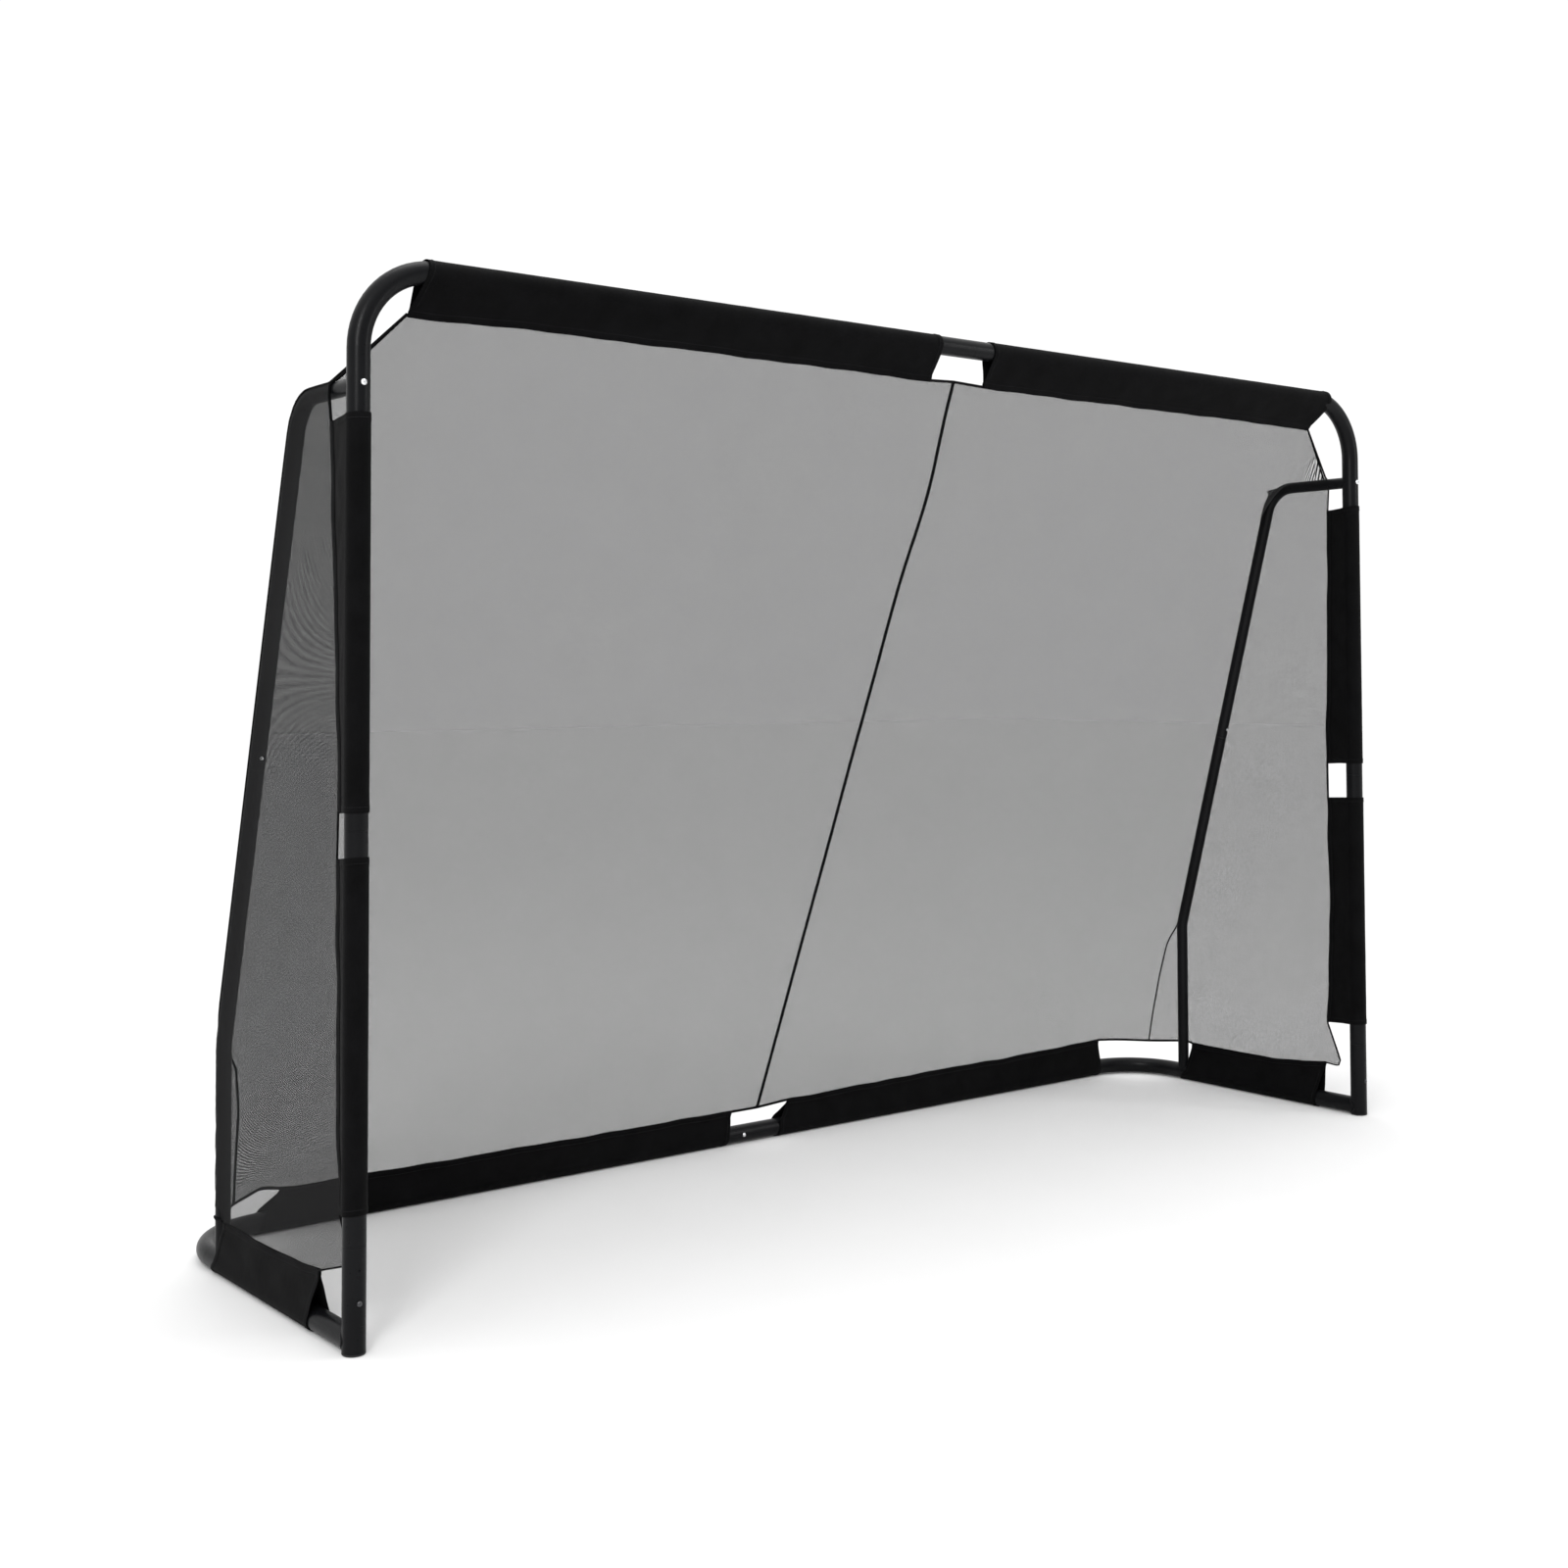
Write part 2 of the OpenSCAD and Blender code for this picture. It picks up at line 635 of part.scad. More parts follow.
// Binding that edges the net, along the sleeves' sewn edges and across the gaps between them
module edge_binding() {
    bar = bar_flap + net_gap;
    side = post_flap + net_gap;
    rail = rail_flap + net_gap;
    rear = rear_flap + net_gap;
    top = [post_y + bar * sin(bar_flap_lean), bar_z - bar * cos(bar_flap_lean)];
    post = [post_x + side * sin(post_flap_lean), post_y + side * cos(post_flap_lean)];
    low = [post_x + rail * sin(rail_flap_lean), rail_z + rail * cos(rail_flap_lean)];
    back = [rear_y - rear * sin(rear_flap_lean), rail_z + rear * cos(rear_flap_lean)];
    color("#0c0c0d") cord([
        [0.2, top[0], top[1]],
        [bar_sleeve_end + 2, top[0], top[1]],
        [brace_x + 5, post_y + 82, brace_z + 17],
        [brace_x + 13, post_y + 82, brace_z + 12.5],
        [brace_x + 17.5, post_y + 82, brace_z + 3],
        [post[0], post[1], upper_sleeve[1]],
        [post[0], post[1], lower_sleeve[0]],
        [low[0], post_y + 49, 103],
        [low[0], post_y + 96, low[1]],
        [low[0], post_y + rail_sleeve[1], low[1]],
        [brace_x + 17, post_y + brace_foot, low[1]],
        [brace_x + 11, post_y + brace_foot + 15, low[1]],
        [corner_low[0], corner_low[1], low[1] - 2],
        [rear_sleeve_end, back[0], back[1]],
        [0.2, back[0], back[1]]
    ], binding_r);
}

// ---------- nodes ----------

module left_of() {
    mirror([1, 0, 0]) children();
}

upper_frame_left();
upper_frame_right();
left_of() lower_post();  // lower_post_left
lower_post();  // lower_post_right
left_of() foot_socket();  // foot_socket_left
foot_socket();  // foot_socket_right
left_of() foot_cap();  // foot_cap_left
foot_cap();  // foot_cap_right
ground_frame_left();
ground_frame_right();
left_of() upper_brace();  // upper_brace_left
upper_brace();  // upper_brace_right
left_of() lower_brace();  // lower_brace_left
lower_brace();  // lower_brace_right
left_of() brace_spigot();  // brace_spigot_left
brace_spigot();  // brace_spigot_right
left_of() brace_insert();  // brace_insert_left
brace_insert();  // brace_insert_right
left_of() brace_bolt();  // brace_bolt_left
brace_bolt();  // brace_bolt_right
at_crossbar() main_button();  // crossbar_button
at_rear_bar() main_button();  // rear_bar_button
left_of() at_post() main_button();  // post_button_left
at_post() main_button();  // post_button_right
left_of() at_foot() main_button();  // foot_button_left
at_foot() main_button();  // foot_button_right
left_of() at_brace() small_button();  // brace_button_left
at_brace() small_button();  // brace_button_right
at_crossbar() main_leaf();  // crossbar_button_spring
at_rear_bar() main_leaf();  // rear_bar_button_spring
left_of() at_post() main_leaf();  // post_button_spring_left
at_post() main_leaf();  // post_button_spring_right
left_of() at_foot() main_leaf();  // foot_button_spring_left
at_foot() main_leaf();  // foot_button_spring_right
left_of() at_brace() small_leaf();  // brace_button_spring_left
at_brace() small_leaf();  // brace_button_spring_right
crossbar_sleeve(-bar_sleeve_end, bar_gap[0]);  // crossbar_sleeve_left
crossbar_sleeve(bar_gap[1], bar_sleeve_end);  // crossbar_sleeve_right
left_of() post_sleeve(upper_sleeve[0], upper_sleeve[1]);  // upper_post_sleeve_left
post_sleeve(upper_sleeve[0], upper_sleeve[1]);  // upper_post_sleeve_right
left_of() post_sleeve(lower_sleeve[0], lower_sleeve[1]);  // lower_post_sleeve_left
post_sleeve(lower_sleeve[0], lower_sleeve[1]);  // lower_post_sleeve_right
left_of() side_rail_sleeve();  // side_rail_sleeve_left
side_rail_sleeve();  // side_rail_sleeve_right
rear_bar_sleeve(-rear_sleeve_end, rear_gap[0]);  // rear_bar_sleeve_left
rear_bar_sleeve(rear_gap[1], rear_sleeve_end);  // rear_bar_sleeve_right
left_of() back_net();  // back_net_left
back_net();  // back_net_right
left_of() side_net();  // side_net_left
side_net();  // side_net_right
middle_seam_tape();
left_of() corner_seam();  // corner_seam_left
corner_seam();  // corner_seam_right
left_of() edge_binding();  // edge_binding_left
edge_binding();  // edge_binding_right
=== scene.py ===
import json
import math

import bpy
import numpy as np
from mathutils import Matrix, Vector

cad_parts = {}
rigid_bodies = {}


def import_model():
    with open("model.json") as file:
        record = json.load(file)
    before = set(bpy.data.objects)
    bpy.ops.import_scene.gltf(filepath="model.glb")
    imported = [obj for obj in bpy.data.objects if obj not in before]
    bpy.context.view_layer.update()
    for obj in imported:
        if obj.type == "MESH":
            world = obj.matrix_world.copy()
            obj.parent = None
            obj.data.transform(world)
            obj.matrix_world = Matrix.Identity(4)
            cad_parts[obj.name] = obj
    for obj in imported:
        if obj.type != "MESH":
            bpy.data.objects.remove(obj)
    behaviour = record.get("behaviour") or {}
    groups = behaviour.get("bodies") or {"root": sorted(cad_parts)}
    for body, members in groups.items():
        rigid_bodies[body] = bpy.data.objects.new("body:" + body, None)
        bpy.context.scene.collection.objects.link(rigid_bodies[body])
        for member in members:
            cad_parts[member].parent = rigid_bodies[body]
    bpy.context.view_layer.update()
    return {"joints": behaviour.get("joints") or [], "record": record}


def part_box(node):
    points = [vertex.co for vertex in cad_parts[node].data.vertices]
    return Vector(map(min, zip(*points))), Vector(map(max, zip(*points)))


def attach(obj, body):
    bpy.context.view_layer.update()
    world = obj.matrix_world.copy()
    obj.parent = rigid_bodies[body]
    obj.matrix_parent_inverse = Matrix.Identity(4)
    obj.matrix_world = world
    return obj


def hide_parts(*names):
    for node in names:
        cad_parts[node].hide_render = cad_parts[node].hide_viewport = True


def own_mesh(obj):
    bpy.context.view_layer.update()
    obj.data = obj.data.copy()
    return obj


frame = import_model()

MM = 0.001
GOAL = "goal"
SIGN = {"left": -1, "right": 1}
rng = np.random.default_rng(7)

# ---------- where the frame is, in millimetres ----------


def middle(node):
    low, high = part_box(node)
    return [(low[k] + high[k]) / 2 / MM for k in range(3)]


X, Y, Z = (1, 0, 0), (0, 1, 0), (0, 0, 1)
DOWN = (0, 0, -1)
POST_X, POST_Y, _ = middle("foot_cap_right")
REAR_Y = POST_Y + 660
BAR_Z = 1581.2  # the crossbar's centre line
RAIL_Z = 18.8  # the ground frame's centre line
BRACE_X = POST_X - 4.8
BRACE_R = 12.5
BRACE_Z = 1403  # the brace's stub
BRACE_TOP_Y = POST_Y + 209  # where the stub's line meets the slope's
BRACE_FOOT_Y = POST_Y + 492
TILT = math.radians(15.3382)  # the slope, from upright
BEND_R = 70
SLEEVE_R = 18.35  # inside the cloth, round a 17.5 mm tube
SEAM, HEM = 10, 11  # how far the flap's seam and the hems at its ends reach
NET_IN, TAPE_IN = 3.0, 0.5  # how far inside a flap's edge the net and its edge tape are held

# ---------- camera ----------

CAMERA_AT = (-2465.1, -2590.5 + POST_Y, 968.5)
YAW, PITCH, ROLL = (math.radians(a) for a in (38.381, 2.107, -0.188))
SENSOR, LENS, SHIFT_Y = 36, 44.27, -0.1125


def make_camera():
    forward = Vector((math.sin(YAW) * math.cos(PITCH), math.cos(YAW) * math.cos(PITCH), math.sin(PITCH)))
    right = Vector((math.cos(YAW), -math.sin(YAW), 0))
    up = right.cross(forward)
    r2 = math.cos(ROLL) * right + math.sin(ROLL) * up
    u2 = -math.sin(ROLL) * right + math.cos(ROLL) * up
    data = bpy.data.cameras.new("camera")
    data.sensor_width = SENSOR
    data.lens = LENS
    data.shift_y = SHIFT_Y
    data.clip_end = 200
    cam = bpy.data.objects.new("camera", data)
    m = Matrix((r2, u2, -forward)).transposed().to_4x4()
    m.translation = Vector(CAMERA_AT) * MM
    cam.matrix_world = m
    bpy.context.scene.collection.objects.link(cam)
    bpy.context.scene.camera = cam


make_camera()

# ---------- materials ----------


class Nodes:
    """A small helper that adds and links nodes in one material."""

    def __init__(self, name):
        self.mat = bpy.data.materials.new(name)
        self.mat.use_nodes = True
        self.tree = self.mat.node_tree
        self.shader = self.tree.nodes["Principled BSDF"]
        self.at = self.add("ShaderNodeTexCoord").outputs["Object"]

    def add(self, kind, **inputs):
        n = self.tree.nodes.new(kind)
        for k, v in inputs.items():
            key = k.replace("_", " ")
            if hasattr(v, "is_output"):
                self.tree.links.new(v, n.inputs[key])
            else:
                n.inputs[key].default_value = v
        return n

    def set(self, **values):
        """Numbers set on the shader's own sockets."""
        for k, v in values.items():
            self.shader.inputs[k.replace("_", " ")].default_value = v

    def math(self, op, *values):
        n = self.tree.nodes.new("ShaderNodeMath")
        n.operation = op
        for socket, v in zip(n.inputs, values):
            if hasattr(v, "is_output"):
                self.tree.links.new(v, socket)
            else:
                socket.default_value = v
        return n.outputs[0]

    def noise(self, scale, detail=2.0, rough=0.5):
        n = self.add("ShaderNodeTexNoise", Vector=self.at, Scale=scale, Detail=detail, Roughness=rough)
        return n.outputs["Fac"]

    def mottle(self, socket, fac, dark, light, start=0.3, end=0.7):
        """Varies one shader input from dark to light as fac goes from start to end; a number is a grey."""
        n = self.tree.nodes.new("ShaderNodeValToRGB")
        for stop, position, value in zip(n.color_ramp.elements, (start, end), (dark, light)):
            stop.position = position
            stop.color = (*value, 1) if isinstance(value, tuple) else (value, value, value, 1)
        self.tree.links.new(fac, n.inputs["Fac"])
        self.tree.links.new(n.outputs["Color"], self.shader.inputs[socket])

    def bumps(self, *layers):
        """Bump layers from coarse to fine, each a height, a strength and a distance in metres."""
        normal = {}
        for height, strength, distance in layers:
            n = self.add("ShaderNodeBump", Height=height, Strength=strength, Distance=distance, **normal)
            normal = {"Normal": n.outputs["Normal"]}
        self.tree.links.new(n.outputs["Normal"], self.shader.inputs["Normal"])

    def uv(self):
        """The piece's own UVs, in metres, as two numbers."""
        uv = self.add("ShaderNodeUVMap").outputs["UV"]
        split = self.add("ShaderNodeSeparateXYZ", Vector=uv)
        return split.outputs["X"], split.outputs["Y"]


def powder_coat():
    n = Nodes("powder_coat")
    n.mottle("Base Color", n.noise(9.0, 3.0), (0.0028, 0.0029, 0.0034), (0.0048, 0.0050, 0.0058))
    n.mottle("Roughness", n.noise(160.0, 3.0), 0.27, 0.36)
    n.bumps((n.noise(620.0, 2.0, 0.55), 0.22, 0.0006))
    n.set(Specular_IOR_Level=0.095, Coat_Weight=0.02, Coat_Roughness=0.22)
    return n.mat


def zinc():
    n = Nodes("bright_zinc")
    grain = n.noise(900.0, 3.0)
    n.mottle("Base Color", grain, (0.70, 0.71, 0.72), (0.84, 0.85, 0.87))
    n.mottle("Roughness", n.noise(260.0), 0.2, 0.34)
    n.bumps((grain, 0.1, 0.0002))
    n.set(Metallic=1.0)
    return n.mat


def spring_steel():
    n = Nodes("spring_steel")
    n.mottle("Base Color", n.noise(500.0, 4.0), (0.34, 0.34, 0.36), (0.5, 0.5, 0.52))
    n.set(Metallic=1.0, Roughness=0.38)
    return n.mat


def phosphated_steel():
    n = Nodes("phosphated_steel")
    n.mottle("Base Color", n.noise(700.0, 3.0), (0.05, 0.05, 0.052), (0.1, 0.1, 0.104))
    n.set(Metallic=1.0, Roughness=0.42)
    return n.mat


def moulded_plastic():
    n = Nodes("moulded_plastic")
    n.mottle("Base Color", n.noise(40.0), (0.010, 0.010, 0.011), (0.016, 0.016, 0.017))
    n.bumps((n.noise(1100.0), 0.25, 0.0004))
    n.set(Roughness=0.62, Specular_IOR_Level=0.35)
    return n.mat


def woven_polyester(name, dark, light, pitch=0.00075, rib=1.0):
    """Plain weave along the UVs; rib stretches it along the piece, as in a ribbed tape."""
    n = Nodes(name)
    x, y = n.uv()
    k = 2 * math.pi / pitch
    across, along = (n.math("SINE", n.math("MULTIPLY", v, q)) for v, q in ((x, k), (y, k * rib)))
    weave = n.math("MULTIPLY", across, along)
    cloud = n.math("MULTIPLY", n.noise(22.0, 4.0, 0.6), 0.7)
    mix = n.math("ADD", cloud, n.math("MULTIPLY", n.noise(420.0), 0.3))
    n.mottle("Base Color", n.math("ADD", mix, n.math("MULTIPLY", weave, 0.06)), dark, light, end=0.72)
    n.bumps((n.noise(55.0, 3.0, 0.6), 0.25, 0.003), (weave, 0.3, 0.00025))
    n.set(Roughness=0.72, Specular_IOR_Level=0.055, Sheen_Weight=0.006, Sheen_Roughness=0.5)
    return n.mat


def fine_mesh(cover=0.695, pitch=0.0016):
    """Fine knitted mesh: two crossing sets of threads with clear holes between them."""
    n = Nodes("fine_mesh")
    x, y = n.uv()
    width = 1 - math.sqrt(1 - cover)
    phases = [n.math("FRACT", n.math("DIVIDE", n.math(op, x, y), pitch)) for op in ("ADD", "SUBTRACT")]
    thread = n.math("MAXIMUM", *(n.math("LESS_THAN", phase, width) for phase in phases))
    n.tree.links.new(thread, n.shader.inputs["Alpha"])
    n.mottle("Base Color", n.noise(6.0, 3.0), (0.007, 0.007, 0.0074), (0.010, 0.010, 0.0104))
    n.set(Roughness=0.8, Specular_IOR_Level=0.1)
    return n.mat


def pale_floor():
    n = Nodes("pale_floor")
    n.mottle("Base Color", n.noise(3.0), 0.778, 0.788)
    n.set(Roughness=0.95, Specular_IOR_Level=0.05)
    return n.mat


COAT = powder_coat()
ZINC = zinc()
SPRING = spring_steel()
DARK_STEEL = phosphated_steel()
PLASTIC = moulded_plastic()
SLEEVE = woven_polyester("sleeve_fabric", (0.0006, 0.0006, 0.0007), (0.0030, 0.0030, 0.0034))
BINDING = woven_polyester("binding_tape", (0.001, 0.001, 0.0012), (0.0035, 0.0035, 0.004), 0.0009, 0.35)
THREAD = woven_polyester("stitch_thread", (0.012, 0.012, 0.013), (0.028, 0.028, 0.03), 0.0004)
NET = fine_mesh()

LOOKS = {"frame_tube": COAT, "cap_plastic": PLASTIC, "zinc_fasteners": ZINC, "button_steel": ZINC,
         "spring_steel": SPRING}
FOOT_BUTTONS = ("foot_button_left", "foot_button_right")
for part in frame["record"]["subparts"]:
    look = DARK_STEEL if part["node"] in FOOT_BUTTONS else LOOKS.get(part["material_slot"])
    obj = bpy.data.objects.get(part["node"])
    if look and obj:
        for slot in obj.material_slots:
            slot.material = look

# ---------- mesh helpers ----------


def new_piece(name, verts, faces, material, uvs=None, smooth=True, rides=True):
    mesh = bpy.data.meshes.new(name)
    mesh.from_pydata([tuple(v) for v in np.asarray(verts) * MM], [], faces)
    mesh.materials.append(material)
    if uvs is not None:
        layer = mesh.uv_layers.new(name="UVMap")
        flat = np.asarray(uvs) * MM
        index = np.empty(len(mesh.loops), dtype=np.int32)
        mesh.loops.foreach_get("vertex_index", index)
        layer.data.foreach_set("uv", flat[index].astype(np.float32).ravel())
    if smooth:
        mesh.polygons.foreach_set("use_smooth", [True] * len(mesh.polygons))
    mesh.update()
    piece = bpy.data.objects.new(name, mesh)
    bpy.context.scene.collection.objects.link(piece)
    if rides:
        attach(piece, GOAL)
    return piece


def grid_faces(rows, cols, wrap=False, offset=0):
    faces = []
    for i in range(rows - 1):
        for j in range(cols if wrap else cols - 1):
            k = (j + 1) % cols
            faces.append((offset + i * cols + j, offset + i * cols + k, offset + (i + 1) * cols + k,
                          offset + (i + 1) * cols + j))
    return faces


def grid_uvs(grid):
    """Arc lengths along both directions of a grid, in the grid's own units."""
    du = np.linalg.norm(np.diff(grid, axis=1), axis=2)
    dv = np.linalg.norm(np.diff(grid, axis=0), axis=2)
    u = np.concatenate([np.zeros((grid.shape[0], 1)), np.cumsum(du, axis=1)], axis=1)
    v = np.concatenate([np.zeros((1, grid.shape[1])), np.cumsum(dv, axis=0)], axis=0)
    return np.stack([u, v], axis=2).reshape(-1, 2)


def grid_normals(grid):
    gu = np.gradient(grid, axis=1)
    gv = np.gradient(grid, axis=0)
    n = np.cross(gu, gv)
    return n / np.maximum(np.linalg.norm(n, axis=2, keepdims=True), 1e-9)


def unit(v):
    v = np.asarray(v, float)
    return v / np.maximum(np.linalg.norm(v, axis=-1, keepdims=True), 1e-9)


def smooth_path(points, step=7.0):
    """Points every step along a Catmull-Rom curve through the given ones."""
    p = np.asarray(points, float)
    p = np.vstack([2 * p[0] - p[1], p, 2 * p[-1] - p[-2]])
    out = []
    for i in range(1, len(p) - 2):
        a, b, c, d = p[i - 1:i + 3]
        n = max(1, int(np.linalg.norm(c - b) / step))
        for t in np.arange(n) / n:
            # centripetal-like tension keeps long and short stretches from overshooting
            m1 = (c - a) / 2 * min(1, np.linalg.norm(c - b) / max(1e-6, np.linalg.norm(b - a)))
            m2 = (d - b) / 2 * min(1, np.linalg.norm(c - b) / max(1e-6, np.linalg.norm(d - c)))
            h = [2 * t**3 - 3 * t**2 + 1, t**3 - 2 * t**2 + t, -2 * t**3 + 3 * t**2, t**3 - t**2]
            out.append(h[0] * b + h[1] * m1 + h[2] * c + h[3] * m2)
    out.append(p[-2])
    return np.array(out)


def tape_tube(points, wide, thick, up, sides=10):
    """Vertices and faces of a flattened tube along points; up sets which way it is wide."""
    p = np.asarray(points, float)
    t = unit(np.gradient(p, axis=0))
    up = np.broadcast_to(np.asarray(up, float), p.shape)
    w = unit(up - (up * t).sum(1, keepdims=True) * t)
    h = np.cross(t, w)
    a = np.arange(sides) * 2 * math.pi / sides
    ring = p[:, None] + w[:, None] * (np.cos(a)[None, :, None] * wide / 2) + h[:, None] * (
        np.sin(a)[None, :, None] * thick / 2)
    run = np.concatenate([[0], np.cumsum(np.linalg.norm(np.diff(p, axis=0), axis=1))])
    uv = np.stack(np.broadcast_arrays(run[:, None], (a * (wide + thick) / 4)[None, :]), axis=2)
    n = len(p)
    faces = grid_faces(n, sides, wrap=True)
    faces.append(tuple(range(sides - 1, -1, -1)))
    faces.append(tuple((n - 1) * sides + k for k in range(sides)))
    return ring.reshape(-1, 3), faces, uv.reshape(-1, 2)


def join(parts):
    """Several (verts, faces, uvs) as one."""
    verts, faces, uvs, at = [], [], [], 0
    for v, f, u in parts:
        verts.append(v)
        uvs.append(u)
        faces += [tuple(i + at for i in face) for face in f]
        at += len(v)
    return np.vstack(verts), faces, np.vstack(uvs)


STITCH_RING = [(math.cos(k * math.pi / 3), math.sin(k * math.pi / 3)) for k in range(6)]


def stitches(path, normal, pitch=3.7, length=2.5, radius=0.33, lift=0.15):
    """Short lengths of thread that follow a path on a surface, each a tapered bead."""
    p = np.asarray(path, float)
    nrm = unit(np.asarray(normal, float))
    run = np.concatenate([[0], np.cumsum(np.linalg.norm(np.diff(p, axis=0), axis=1))])
    at = np.arange(pitch, run[-1] - pitch, pitch)
    if len(at) == 0:
        return None

    def look(s):
        return (np.stack([np.interp(s, run, p[:, k]) for k in range(3)], 1),
                unit(np.stack([np.interp(s, run, nrm[:, k]) for k in range(3)], 1)))

    a, na = look(at - length / 2)
    b = look(at + length / 2)[0]
    t = unit(b - a)
    side = np.cross(t, na)
    verts = []
    for f, r, up in ((0, 0.25, -0.1), (0.22, 1, lift), (0.78, 1, lift), (1, 0.25, -0.1)):
        c = a + (b - a) * f + na * up
        for cx, cy in STITCH_RING:
            verts.append(c + side * cx * radius * r + na * cy * radius * r)
    verts = np.stack(verts, 1).reshape(-1, 3)
    faces = []
    one = []
    for i in range(3):
        for k in range(6):
            one.append((i * 6 + k, i * 6 + (k + 1) % 6, (i + 1) * 6 + (k + 1) % 6, (i + 1) * 6 + k))
    one.append((5, 4, 3, 2, 1, 0))
    one.append((18, 19, 20, 21, 22, 23))
    for s in range(len(at)):
        faces += [tuple(i + 24 * s for i in f) for f in one]
    return verts, faces, verts[:, :2]


class Waves:
    """A smooth seeded ripple in one variable, about one unit high."""

    def __init__(self, lengths):
        self.k = [(2 * math.pi / length, rng.uniform(0, 2 * math.pi), rng.uniform(0.6, 1.0))
                  for length in lengths]

    def __call__(self, t):
        return sum(a * np.sin(k * t + f) for k, f, a in self.k) / len(self.k)


# ---------- sleeves ----------

# where a ring of the cloth has points, as fractions of its seam, its loose ply and its wrap round the tube
ON_SEAM = np.array([0, 0.5, 0.86, 1.0])
ON_PLY = np.linspace(0, 1, 11)[1:]
ON_TUBE = np.linspace(0, 1, 31)[1:-1]
FOLD = 0.55  # how much a doubled edge stands out
SLACK, WRINKLE = 0.35, 1.15
CLOTH = 0.0006  # thickness in metres
STITCH_LIFT = 0.5
RING_ENDS = np.array([0, 2.5, 8.5, 10, 11.5, 14, 19])  # rings near each end, closer together at the hem


def sleeve_ring(length):
    """One ring of a sleeve from its flap's edge round the tube and back, and which points are on its far ply.

    A row is a point, its normal, how much it wrinkles and how far it stands out.
    """
    rows = [(length - SEAM * q, 0.5 + 0.35 * (q > 0.1), 0, 1, 0.25, FOLD * (q < 0.9)) for q in ON_SEAM]
    seam_end = np.array([length - SEAM, 0.55])
    a = math.acos(SLEEVE_R / seam_end[0])
    ply = np.array([SLEEVE_R * math.cos(a), SLEEVE_R * math.sin(a)]) - seam_end
    normal = unit(np.array([-ply[1], ply[0]]))
    normal = normal if normal[1] > 0 else -normal
    rows += [(*(seam_end + ply * q), *normal, math.sin(math.pi * min(1, q * 1.05)) ** 0.8, 0) for q in ON_PLY]
    for q in ON_TUBE:
        angle = a + (2 * math.pi - 2 * a) * q
        c, s = math.cos(angle), math.sin(angle)
        rows.append((SLEEVE_R * c, SLEEVE_R * s, c, s, 0.12, 0))
    rows = np.array(rows)
    back = rows[:len(ON_SEAM) + len(ON_PLY)][::-1] * (1, -1, 1, -1, 1, 1)
    return np.vstack([rows, back]), np.repeat([False, True], [len(rows), len(back)])


def ramp_of(pairs):
    """A straight-line curve through (x, y) pairs."""
    xs, ys = zip(*sorted(pairs))
    return lambda v: np.interp(v, xs, ys)


